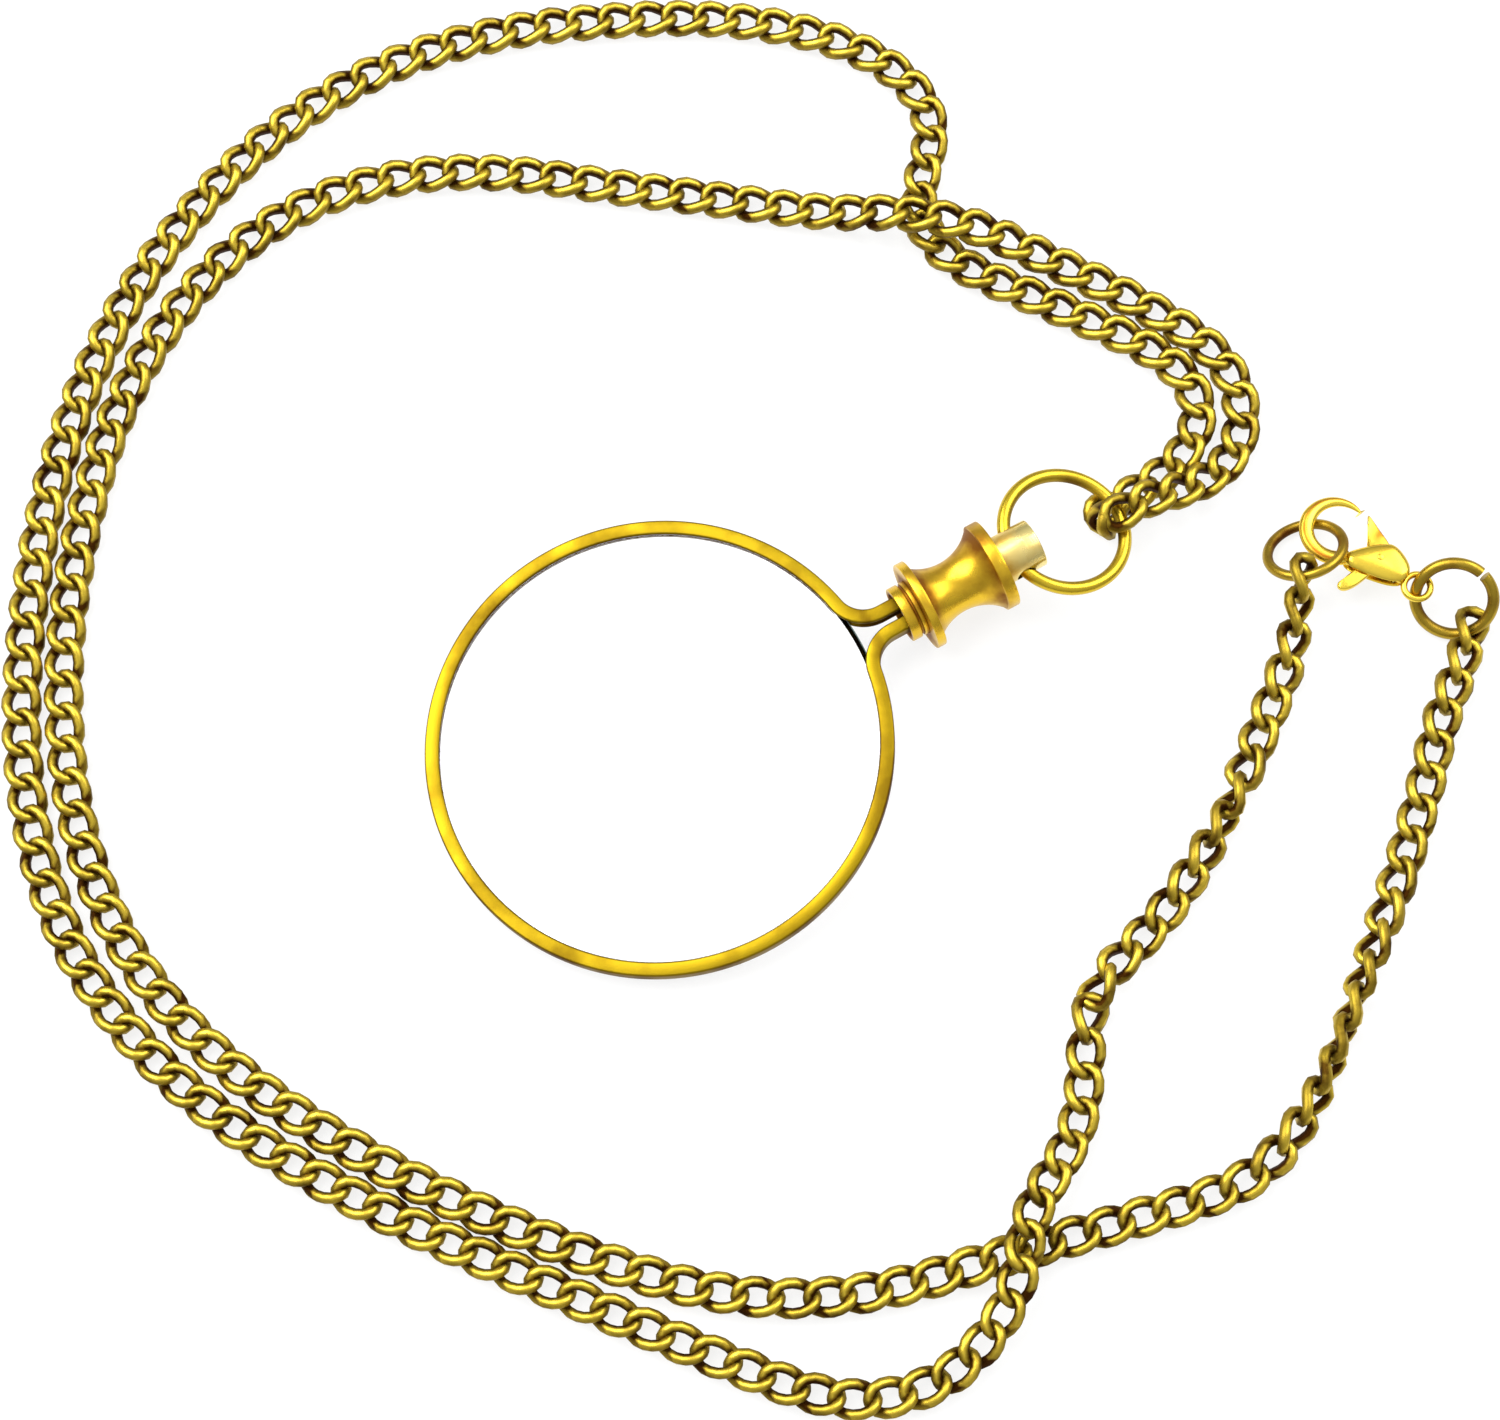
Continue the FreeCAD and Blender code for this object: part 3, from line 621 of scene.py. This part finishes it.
mark_hollows(rim_bm, rim_shade_and_patina)
rim_brass = metal("rim_brass", (0.31, 0.21, 0.007), (0.10, 0.045, 0.003), 0.32,
                  clouds=190, patches=0.6)
rim = make_piece("rim_bezel", rim_bm, "glass", rim_brass, glass_place, sharp=30)
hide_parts("rim_wire")

# %% [markdown]
# ## The finish of the handle
#
# The handle was turned on a lathe: a small collar round the mouth, a spool with
# a flange at each end and a hollow waist, and a paler stub behind it. A lathe
# leaves fine rings in the metal. They could be modelled as grooves, but they
# are far finer than the faces. They depend only on the place along the axis,
# so a noise that is stretched across the axis, in coordinates turned to lie
# along it, gives them as bumps.

# %% Lathe marks and the two brasses of the handle
def lathe_marks(material, strength):
    """Adds fine turned rings to a metal, along the handle's axis."""
    nodes, links = material.node_tree.nodes, material.node_tree.links
    place = add_node(nodes, "TexCoord")
    stretch = add_node(nodes, "Mapping", {"Rotation": (0, TILT, 0), "Scale": (9000, 120, 120)})
    rings = add_node(nodes, "TexNoise", {"Scale": 1.0, "Detail": 2})
    marks = add_node(nodes, "Bump", {"Strength": strength, "Distance": MARK_DEPTH})
    links.new(place.outputs["Object"], stretch.inputs["Vector"])
    links.new(stretch.outputs["Vector"], rings.inputs["Vector"])
    links.new(rings.outputs["Fac"], marks.inputs["Height"])
    links.new(nodes["Bump"].outputs["Normal"], marks.inputs["Normal"])
    links.new(marks.outputs["Normal"], nodes["Principled BSDF"].inputs["Normal"])


spool_brass = metal("spool_brass", (0.82, 0.53, 0.035), (0.26, 0.10, 0.01), 0.24,
                    clouds=230, patches=0.9)
boss_brass = metal("boss_brass", (0.98, 0.82, 0.32), (0.62, 0.38, 0.06), 0.2,
                   clouds=420, patches=0.6)
lathe_marks(spool_brass, 0.25)
lathe_marks(boss_brass, 0.2)
print("turned finishes:", spool_brass.name, boss_brass.name)

# %% [markdown]
# ## The front collar
#
# The collar closes the mouth of the handle round the two ends of the wire. It has a fine groove,
# which could be a dark line in the finish, but a real groove catches the light at its rims.
# Painted shade with patina darkens the groove and the bore.

# %% Front collar
COLLAR_R = 2.8
COLLAR_GROOVE_R = 2.55
BORE_R = 2.2
FLANGE_X = MOUTH_X + 1.75


def collar_shade_and_patina(at):
    """Painted shade and patina in the bore of the collar and in its groove."""
    r = math.hypot(at.y, at.z)
    in_bore, in_groove = r < 2.45, r < 2.62
    return 1.0 if in_bore else (0.8 if in_groove else 0.1)


bm = turned([
    (MOUTH_X + 0.9, BORE_R), (MOUTH_X, 2.28), (MOUTH_X, COLLAR_R), (FLANGE_X - 0.75, COLLAR_R),
    (FLANGE_X - 0.72, COLLAR_GROOVE_R), (FLANGE_X - 0.48, COLLAR_GROOVE_R),
    (FLANGE_X - 0.45, COLLAR_R), (FLANGE_X, COLLAR_R), (FLANGE_X, BORE_R),
    (MOUTH_X + 0.9, BORE_R)], ABOUT_X, bevel=0.07)
mark_hollows(bm, collar_shade_and_patina)
collar = make_piece("mouth_collar", bm, "glass", spool_brass, glass_place)
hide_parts("front_collar")

# %% [markdown]
# ## The spool
#
# The spool is the grip: two flanges with a hollow waist between them. The
# waist is one round sweep, lowest nearer the front. It could be a few points
# smoothed by subdivision, but that would round off the flanges too. So the
# sweep's radius is worked out from its lowest point and its rear end. The
# spool is bored from the front for the wire and from the rear for the stub.

# %% Spool
FLANGE_R = 4.5
WAIST_R = 2.6
WAIST_END_R = 4.35
WAIST_X = FLANGE_X + 0.9
LOW_X = WAIST_X + 3.1
REAR_X = WAIST_X + 6.85
BOSS_X = REAR_X + 1.2
BORE_END = MOUTH_X + 5.3
PEG_R = 1.5
PEG_LONG = 3.4
PEG_CLEAR = 0.02
WAIST_STEPS = 24
socket_r, socket_x = PEG_R + PEG_CLEAR, BOSS_X - PEG_LONG - PEG_CLEAR
rise = WAIST_END_R - WAIST_R
sweep = ((REAR_X - LOW_X) ** 2 + rise ** 2) / (2 * rise)
waist = []
for step in range(WAIST_STEPS + 1):
    x = WAIST_X + (REAR_X - WAIST_X) * step / WAIST_STEPS
    waist.append((x, WAIST_R + sweep - math.sqrt(sweep ** 2 - (x - LOW_X) ** 2)))
bm = turned([
    (BORE_END, BORE_R), (FLANGE_X, BORE_R), (FLANGE_X, FLANGE_R), (WAIST_X, FLANGE_R), *waist,
    (REAR_X, FLANGE_R), (BOSS_X, FLANGE_R), (BOSS_X, socket_r), (socket_x, socket_r),
    (socket_x, 0), (BORE_END, 0), (BORE_END, BORE_R)], ABOUT_X, steps=128, bevel=0.09)


def spool_shade_and_patina(at):
    """Painted shade and patina in the two corners under the flanges, and in the bore."""
    r = math.hypot(at.y, at.z)
    corner = max(0.0, 1 - abs(at.x - WAIST_X) / 0.9) + max(0.0, 1 - abs(at.x - REAR_X) / 1.1)
    in_bore, under_flange = r < 2.3, r < 4.3
    return 1.0 if in_bore else (0.5 * corner if under_flange else 0.0)


mark_hollows(bm, spool_shade_and_patina)
spool = make_piece("spool_body", bm, "glass", spool_brass, glass_place)
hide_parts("spool")

# %% [markdown]
# ## Drilling a hole
#
# A turned piece has no faces where a cross hole should be. The hole could be
# cut into the faces by hand, but a Boolean modifier finds the edges of a
# drill and a stub exactly. It is applied at once, so that no drill is left in
# the scene.

# %% Helper that cuts one shape out of another
def cut_away(bm, cutter):
    """The first bmesh without the space of the second."""
    holders = []
    for number, part in enumerate((bm, cutter)):
        mesh = bpy.data.meshes.new("cut_%d" % number)
        part.to_mesh(mesh)
        part.free()
        holders.append(bpy.data.objects.new("cut_%d" % number, mesh))
        bpy.context.scene.collection.objects.link(holders[-1])
    boolean = holders[0].modifiers.new("cut", "BOOLEAN")
    boolean.object = holders[1]
    boolean.operation = "DIFFERENCE"
    boolean.solver = "EXACT"
    bpy.context.view_layer.update()
    result = bmesh.new()
    result.from_object(holders[0], bpy.context.evaluated_depsgraph_get())
    for holder in holders:
        mesh = holder.data
        bpy.data.objects.remove(holder)
        bpy.data.meshes.remove(mesh)
    return result

# %% [markdown]
# ## The ring boss
#
# Behind the spool stands a short stub of paler metal, cross-drilled for the ring, with a peg that
# fits the spool's rear bore. It could be one piece with the spool, but it is another metal and has
# an edge of its own. Painted shade with patina darkens the hole and the foot where the stub meets
# the spool.

# %% Ring boss
BOSS_R = 2.425
BOSS_END = BOSS_X + 4.2
HOLE_X = BOSS_END - 2.3
HOLE_R = 1.0
peg_x = BOSS_X - PEG_LONG
boss = turned([(peg_x, 0), (peg_x, PEG_R), (BOSS_X, PEG_R), (BOSS_X, BOSS_R), (BOSS_END, BOSS_R),
               (BOSS_END, 0)], ABOUT_X, bevel=0.16)
drill = bmesh.new()
bmesh.ops.create_cone(
    drill, cap_ends=True, segments=48, radius1=HOLE_R, radius2=HOLE_R, depth=8,
    matrix=Matrix.Translation((HOLE_X, 0, 0)) @ Matrix.Rotation(math.pi / 2, 4, "X"))
bm = cut_away(boss, drill)


def stub_shade_and_patina(at):
    """Painted shade and patina in the hole and at the foot of the stub."""
    inside = math.hypot(at.y, at.z) < 2.3 and at.x < BOSS_END - 0.3
    return 1.0 if inside else max(0.0, 0.9 - abs(at.x - BOSS_X) / 0.5)


mark_hollows(bm, stub_shade_and_patina)
stub = make_piece("ring_stub", bm, "glass", boss_brass, glass_place, sharp=30)
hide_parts("ring_boss")

# %% [markdown]
# ## The three rings
#
# The handle's ring and the two rings at the chain's ends are bent from round wire. Each could be a
# torus, but one of them is open: the ring in the clasp's eye is a jump ring, whose two ends meet
# in a narrow split. So each is a circle of wire spun round the ring's axis, and that one a little
# less than a full turn, with its ends closed. The inner side of a ring is darker: patina together
# with painted shade.

# %% Helper for rings of wire
def wire_ring(middle, wire, degrees=360.0):
    """A ring of round wire about Z, from angle 0."""
    bm = bmesh.new()
    bmesh.ops.create_circle(
        bm, segments=16, radius=wire / 2,
        matrix=Matrix.Translation((middle, 0, 0)) @ Matrix.Rotation(math.pi / 2, 4, "X"))
    closed = degrees >= 360
    bmesh.ops.spin(bm, geom=bm.verts[:] + bm.edges[:], axis=(0, 0, 1), cent=(0, 0, 0),
                   angle=math.radians(degrees), steps=96, use_merge=closed)
    if not closed:
        bmesh.ops.holes_fill(bm, edges=[e for e in bm.edges if e.is_boundary], sides=0)
    bmesh.ops.recalc_face_normals(bm, faces=bm.faces)

    # painted shade and patina on the inner side of the wire
    def inner_side(at):
        out = (math.hypot(at.x, at.y) - middle) / (wire / 2)
        return max(0.0, -0.15 - 0.75 * out)

    mark_hollows(bm, inner_side)
    return bm

# %% [markdown]
# ## The handle's ring
#
# The ring hangs in the cross hole of the boss and droops onto the chain. Its
# place could be one matrix of numbers, but three steps say what it does: it
# goes to the hole, turns down about it, and moves out by its own radius, less
# a little, so that the curved wire lies in the middle of the hole.

# %% Handle ring
LOOP_MID = 6.075
LOOP_WIRE = 1.32
LOOP_IN_HOLE = 0.253
HOLE_AT = (24.422, 0, 5.283)
droop = math.radians(12.219)
ring_place = (Matrix.Translation(HOLE_AT) @ Matrix.Rotation(droop, 4, "Y")
              @ Matrix.Translation((LOOP_MID - LOOP_IN_HOLE, 0, 0)))
loop_brass = metal("loop_brass", (0.70, 0.50, 0.035), (0.11, 0.05, 0.005), 0.26, patches=0.35)
handle_ring = make_piece("handle_loop", wire_ring(LOOP_MID, LOOP_WIRE), "ring",
                         loop_brass, ring_place)
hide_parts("handle_ring")

# %% [markdown]
# ## The rings at the chain's ends
#
# One ring is held by the clasp's claw, and the other goes through its eye.
# Both lie at a slant. They could be copies of one mesh, but only one is split
# and its wire is a little thicker. The place of the split ring starts at the
# clasp's eye, because its wire passes there, and the last turn brings the
# split to the side where it shows.

# %% End rings
END_RING_MID = 3.7
HOOK_WIRE, EYE_RING_WIRE = 1.02, 1.15
SPLIT = 0.5
ring_brass = metal("ring_brass", (0.44, 0.30, 0.03), (0.10, 0.035, 0.005), 0.3, patches=0.6)
hook_place = (Matrix.Translation((HITCH_AT + 14.0, -12.4, 2.64))
              @ Matrix.Rotation(math.radians(-85), 4, "Z")
              @ Matrix.Rotation(math.radians(-34.5), 4, "Y"))
hook_ring = make_piece("claw_end_ring", wire_ring(END_RING_MID, HOOK_WIRE), "chain",
                       ring_brass, hook_place)
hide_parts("hook_ring")
CLASP_EYE = Vector((HITCH_AT + 21.3, -20.9, 3.2))
split = math.degrees(SPLIT / END_RING_MID)
eye_place = (Matrix.Translation(CLASP_EYE) @ Matrix.Rotation(math.radians(-47.8), 4, "Z")
             @ Matrix.Rotation(math.radians(45), 4, "X")
             @ Matrix.Translation((END_RING_MID, 0, 0))
             @ Matrix.Rotation(math.radians(63 + split / 2), 4, "Z"))
split_ring = wire_ring(END_RING_MID, EYE_RING_WIRE, 360 - split)
eye_ring = make_piece("eye_end_ring", split_ring, "chain", ring_brass, eye_place)
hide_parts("eye_ring")

# %% [markdown]
# ## The lobster clasp
#
# The clasp is a small casting: a claw, a heart-shaped body of two cheeks with a
# slot between them, and an eye. A lever on a pin turns in the slot. Its nose
# closes the claw, and its tab is for the thumb. It could be sculpted, but the
# real one is flat and has a clear outline. So the cheeks and the lever start
# as outlines that are given thickness, and two levels of subdivision make
# them as soft as a plated casting. An outline gives u along the clasp from its
# eye, and v across it towards the tab.

# %% Outlines, finish and helpers of the clasp
clasp_place = (Matrix.Translation(CLASP_EYE) @ Matrix.Rotation(math.radians(111.8), 4, "Z")
               @ Matrix.Rotation(math.radians(3.3), 4, "Y"))
clasp_gold = metal("clasp_gold", (0.90, 0.66, 0.07), (0.40, 0.14, 0.012), 0.2,
                   patches=0.35, grain=0.04)
BODY_OUTLINE = (
    (1.1, -0.75), (2.6, -1.65), (4.2, -2.05), (5.0, -1.45), (5.9, -0.5),
    (6.75, 0.7), (7.3, 1.5), (7.2, 2.4), (6.2, 2.7), (3.4, 1.9), (1.2, 1.0),
)
LEVER_OUTLINE = (
    (3.5, -0.7), (4.4, -1.9), (6.0, -2.35), (8.0, -3.2), (8.2, -2.95),
    (6.2, -1.35), (5.3, -0.2), (5.2, 1.2), (5.5, 3.2), (6.3, 4.3), (6.0, 4.9),
    (5.2, 4.9), (4.5, 3.6), (4.2, 1.4), (3.5, 0.7),
)


def slab(bm, outline, low, high):
    """A closed plate of one outline between two heights; returns its top."""
    bottom = bm.faces.new([bm.verts.new((u, v, low)) for u, v in outline])
    made = bmesh.ops.extrude_face_region(bm, geom=[bottom])["geom"]
    tops = [v for v in made if isinstance(v, bmesh.types.BMVert)]
    bmesh.ops.translate(bm, vec=(0, 0, high - low), verts=tops)
    return [f for f in made if isinstance(f, bmesh.types.BMFace)]


def soften(piece):
    """Two levels of subdivision, the same in the view and in the render."""
    soft = piece.modifiers.new("soft", "SUBSURF")
    soft.levels = soft.render_levels = 2


print("points of the outlines:", len(BODY_OUTLINE), "and", len(LEVER_OUTLINE))

# %% [markdown]
# ## The casting
#
# Each cheek is a plate over the slot whose top is set in three times, a little
# higher each time, which domes it. The lower cheek is the same shape with its
# height turned over. One plate with the slot cut out of it would do as well,
# but its thin walls would not subdivide evenly. Two blocks join the cheeks at
# the eye and at the root of the claw.

# %% Clasp casting
SLOT_HALF, CHEEK_TOP = 0.52, 0.66
DOME = ((0.22, 0.2), (0.35, 0.16), (0.5, 0.08))
JOINTS = (((1.75, 0.12, 0), (1.1, 1.7, 1.2)), ((6.7, 1.85, 0), (0.95, 1.3, 1.2)))


def add_cheek(bm, side):
    """One domed cheek, above the slot for side 1 and under it for -1."""
    half = bmesh.new()
    top = slab(half, BODY_OUTLINE, SLOT_HALF, CHEEK_TOP)
    for inwards, upwards in DOME:
        bmesh.ops.inset_region(half, faces=top, thickness=inwards, depth=upwards)
    bmesh.ops.scale(half, vec=(1, 1, side), verts=half.verts)
    bmesh.ops.recalc_face_normals(half, faces=half.faces)
    mesh = bpy.data.meshes.new("cheek")
    half.to_mesh(mesh)
    half.free()
    bm.from_mesh(mesh)
    bpy.data.meshes.remove(mesh)


bm = bmesh.new()
add_cheek(bm, -1)
add_cheek(bm, 1)
for middle, size in JOINTS:
    block = Matrix.Translation(middle) @ Matrix.Diagonal((*size, 1))
    bmesh.ops.create_cube(bm, size=1, matrix=block)
casting = make_piece("clasp_casting", bm, "clasp", clasp_gold, clasp_place, sharp=180)
soften(casting)

# %% [markdown]
# ## The claw and the eye
#
# The claw is a hook that starts thick at the body and runs out to a fine tip, flattened from
# above. A tapered curve could make it, but the ring of wire is already there: it is spun for as
# far as the claw goes, and each point is then moved towards the middle of the wire by its share of
# the way to the tip. A thin dark line along its outer side is a painted reflection: the dark band
# that a rounded, polished band reflects.

# %% Claw and eye of the clasp
CLAW_MID = 2.95
CLAW_WIRE = 0.98
CLAW_FLAT = 1.35
CLAW_AT = 9.5
CLAW_TIP = -104.0
CLAW_SWEEP = 254.0
TIP_SHARE = 0.12
GROWN_SHARE = 1.10
GROWN_AT = 0.45
EYE_MID, EYE_WIRE = 1.275, 0.65
claw = wire_ring(CLAW_MID, CLAW_WIRE, CLAW_SWEEP)
layer = claw.verts.layers.float["hollow"]
for vertex in claw.verts:
    around = math.degrees(math.atan2(vertex.co.y, vertex.co.x)) % 360
    grown = min(1.0, min(around / CLAW_SWEEP, 1.0) / GROWN_AT) ** 0.6
    width = TIP_SHARE + (GROWN_SHARE - TIP_SHARE) * grown
    centre = Vector((vertex.co.x, vertex.co.y, 0)).normalized() * CLAW_MID
    off = (vertex.co - centre) * width
    outwards = (math.hypot(vertex.co.x, vertex.co.y) - CLAW_MID) / (CLAW_WIRE / 2)
    vertex.co = centre + Vector((off.x * CLAW_FLAT, off.y * CLAW_FLAT, off.z))
    # a painted dark reflection: a thin line along the outer side of the claw
    vertex[layer] = 1.0 if 0.3 < outwards < 0.5 else 0.0
bmesh.ops.rotate(claw, verts=claw.verts, cent=(0, 0, 0),
                 matrix=Matrix.Rotation(math.radians(CLAW_TIP), 3, "Z"))
bmesh.ops.translate(claw, vec=(CLAW_AT, 0, 0), verts=claw.verts)
claw_hook = make_piece("clasp_claw", claw, "clasp", clasp_gold, clasp_place)
clasp_eye = make_piece("clasp_eye", wire_ring(EYE_MID, EYE_WIRE), "clasp",
                       clasp_gold, clasp_place)
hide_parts("clasp_body")

# %% [markdown]
# ## The lever
#
# The lever is a flat plate in the slot. It could be subdivided alone, but that would round the
# whole plate. Its rims are bevelled first, and that keeps the softness at the rims. Where its nose
# leaves the body, a band of painted shade darkens it.

# %% Lever
LEVER_HALF = 0.4


def lever_painted_shade(at):
    """Painted shade across the root of the nose, where it leaves the body."""
    return 0.9 if -2.9 < at.y < -2.0 else 0.0


bm = bmesh.new()
slab(bm, LEVER_OUTLINE, -LEVER_HALF, LEVER_HALF)
mark_hollows(bm, lever_painted_shade)
rims = [e for e in bm.edges if abs(e.verts[0].co.z - e.verts[1].co.z) < 0.01]
bmesh.ops.bevel(bm, geom=rims, affect="EDGES", offset=0.12, segments=1, profile=0.5, material=-1)
bmesh.ops.recalc_face_normals(bm, faces=bm.faces)
lever = make_piece("clasp_gate", bm, "lever", clasp_gold, clasp_place, sharp=180)
soften(lever)
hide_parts("clasp_lever")

# %% [markdown]
# ## The pin
#
# The lever turns on a short rod whose ends are closed down on the cheeks. A
# plain cylinder would do from afar, but its turned ends catch the light.

# %% Pin
PIN_R = 0.38
PIN_HALF = 1.2
PIN_AT = (4.4, 0.1, 0)
pin_place = clasp_place @ Matrix.Translation(PIN_AT)
bm = turned([
    (0, -PIN_HALF), (0.3, 0.05 - PIN_HALF), (PIN_R, 0.15 - PIN_HALF), (PIN_R, PIN_HALF - 0.15),
    (0.3, PIN_HALF - 0.05), (0, PIN_HALF)], ABOUT_Z, steps=32)
rivet = make_piece("clasp_rivet", bm, "clasp", clasp_gold, pin_place)
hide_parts("clasp_pin")

# %% [markdown]
# ## What keeps its construction shape
#
# Two small pieces are hardly seen: the solder round the ends of the rim wire,
# deep in the mouth, and the spring in the clasp's slot. They could be made
# anew, but their solids are right as they are and only get a finish.

# %% Solder and spring
solder_grey = metal("solder_grey", (0.30, 0.27, 0.22), (0.07, 0.05, 0.03), 0.5, patches=0.8)
spring_steel = metal("spring_steel", (0.55, 0.55, 0.55), (0.2, 0.18, 0.16), 0.3)
for node, material in (("wire_solder", solder_grey), ("clasp_spring", spring_steel)):
    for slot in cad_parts[node].material_slots:
        slot.material = material
    print(node, "is finished in", material.name)

# %% [markdown]
#
# The links round the ring and the rings and clasp at the ends lie on the two strands. Each strand
# is listed here with the pieces that go with it, and their number is printed.

for piece, line, pieces in (
        (outer_strand, outer_line, [looped_links, hook_ring]),
        (inner_strand, inner_line,
         [eye_ring, casting, claw_hook, clasp_eye, lever, rivet, "clasp_spring"])):
    print(piece.name, "goes with", len(pieces), "pieces")

# %% [markdown]
# ## What a ray sees of the white
#
# The background has to be plain white in the picture, but more light on the
# object would bleach the brass. So the table and the sky are mixed with a
# plain white for some rays only: all of it for what is seen through the lens,
# and a share each for what the camera and the metal see. Light Path tells the
# rays apart, and the largest share wins.

# %% Helper for the share of white
def white_share(nodes, links, for_camera, for_metal):
    """An output with the share of plain white that a ray sees."""
    path = add_node(nodes, "LightPath")
    share = path.outputs["Is Transmission Ray"]
    for ray, most in (("Is Camera Ray", for_camera), ("Is Glossy Ray", for_metal)):
        part = add_node(nodes, "Math", {1: most}, operation="MULTIPLY")
        larger = add_node(nodes, "Math", operation="MAXIMUM")
        links.new(path.outputs[ray], part.inputs[0])
        links.new(part.outputs["Value"], larger.inputs[0])
        links.new(share, larger.inputs[1])
        share = larger.outputs["Value"]
    return share

# %% [markdown]
# ## The table
#
# The glass lies on a white sheet. A plain emitter would be the easiest white,
# but it shows no shadow. So the sheet is an ordinary matt white that takes the
# light of the lamps, with four fifths of plain white over it for the camera
# and the metal, and a trace of the shadow stays.

# %% White table
bm = bmesh.new()
bmesh.ops.create_grid(bm, x_segments=2, y_segments=2, size=1.2)
mesh = bpy.data.meshes.new("white_table")
bm.to_mesh(mesh)
bm.free()
table = bpy.data.objects.new("white_table", mesh)
bpy.context.scene.collection.objects.link(table)
paper = bpy.data.materials.new("white_paper")
paper.use_nodes = True
nodes, links = paper.node_tree.nodes, paper.node_tree.links
shader = nodes["Principled BSDF"]
shader.inputs["Base Color"].default_value = (0.88, 0.88, 0.875, 1)
shader.inputs["Roughness"].default_value = 0.9
white = add_node(nodes, "Emission", {"Color": (1, 1, 1, 1), "Strength": 1.03})
mix = add_node(nodes, "MixShader")
links.new(white_share(nodes, links, 0.8, 0.8), mix.inputs["Fac"])
links.new(shader.outputs["BSDF"], mix.inputs[1])
links.new(white.outputs["Emission"], mix.inputs[2])
links.new(mix.outputs["Shader"], nodes["Material Output"].inputs["Surface"])
mesh.materials.append(paper)
print("the table is", round(table.dimensions.x, 2), "m wide")

# %% [markdown]
# ## The sky
#
# The sky is brighter overhead than at the sides, which gives the metal its
# contrast. An even grey would be simpler, but brass under it looks flat. The
# camera sees the sky as white, and the metal sees a quarter of that white.

# %% Sky
SKY_AT_SIDES = 0.10
SKY_OVERHEAD = 0.75
world = bpy.data.worlds.new("soft_sky")
bpy.context.scene.world = world
world.use_nodes = True
nodes, links = world.node_tree.nodes, world.node_tree.links
place = add_node(nodes, "TexCoord")
height = add_node(nodes, "SeparateXYZ")
shade = add_node(nodes, "MapRange",
                 {"From Max": 0.9, "To Min": SKY_AT_SIDES, "To Max": SKY_OVERHEAD})
white = add_node(nodes, "Background", {"Color": (1, 1, 1, 1)})
mix = add_node(nodes, "MixShader")
sky = nodes["Background"]
links.new(place.outputs["Generated"], height.inputs["Vector"])
links.new(height.outputs["Z"], shade.inputs["Value"])
links.new(shade.outputs["Result"], sky.inputs["Color"])
links.new(white_share(nodes, links, 1.0, 0.25), mix.inputs["Fac"])
links.new(sky.outputs["Background"], mix.inputs[1])
links.new(white.outputs["Background"], mix.inputs[2])
links.new(mix.outputs["Shader"], nodes["World Output"].inputs["Surface"])
print("sky from", SKY_AT_SIDES, "to", SKY_OVERHEAD)

# %% [markdown]
# ## The lamps
#
# A big soft lamp stands up to the left and a weaker one to the right. Small
# lamps would be brighter points on the wire, but their shadows would be hard
# on the white table. A lamp shines along its own -Z, so its Z is turned away
# from what it lights.

# %% Lamps
def lamp(name, at, aim, size, watts):
    """A square soft lamp that points at a place."""
    light = bpy.data.lights.new(name, "AREA")
    light.size = size
    light.energy = watts
    holder = bpy.data.objects.new(name, light)
    turn = (Vector(at) - Vector(aim)).to_track_quat("Z", "Y")
    holder.matrix_world = Matrix.Translation(at) @ turn.to_matrix().to_4x4()
    bpy.context.scene.collection.objects.link(holder)
    print(name, "gives", watts, "W")


lamp("key_lamp", (-0.24, 0.36, 0.58), (0, 0, 0), 0.62, 7.0)
lamp("fill_lamp", (0.45, 0.02, 0.50), (0, 0, 0), 0.50, 2.8)
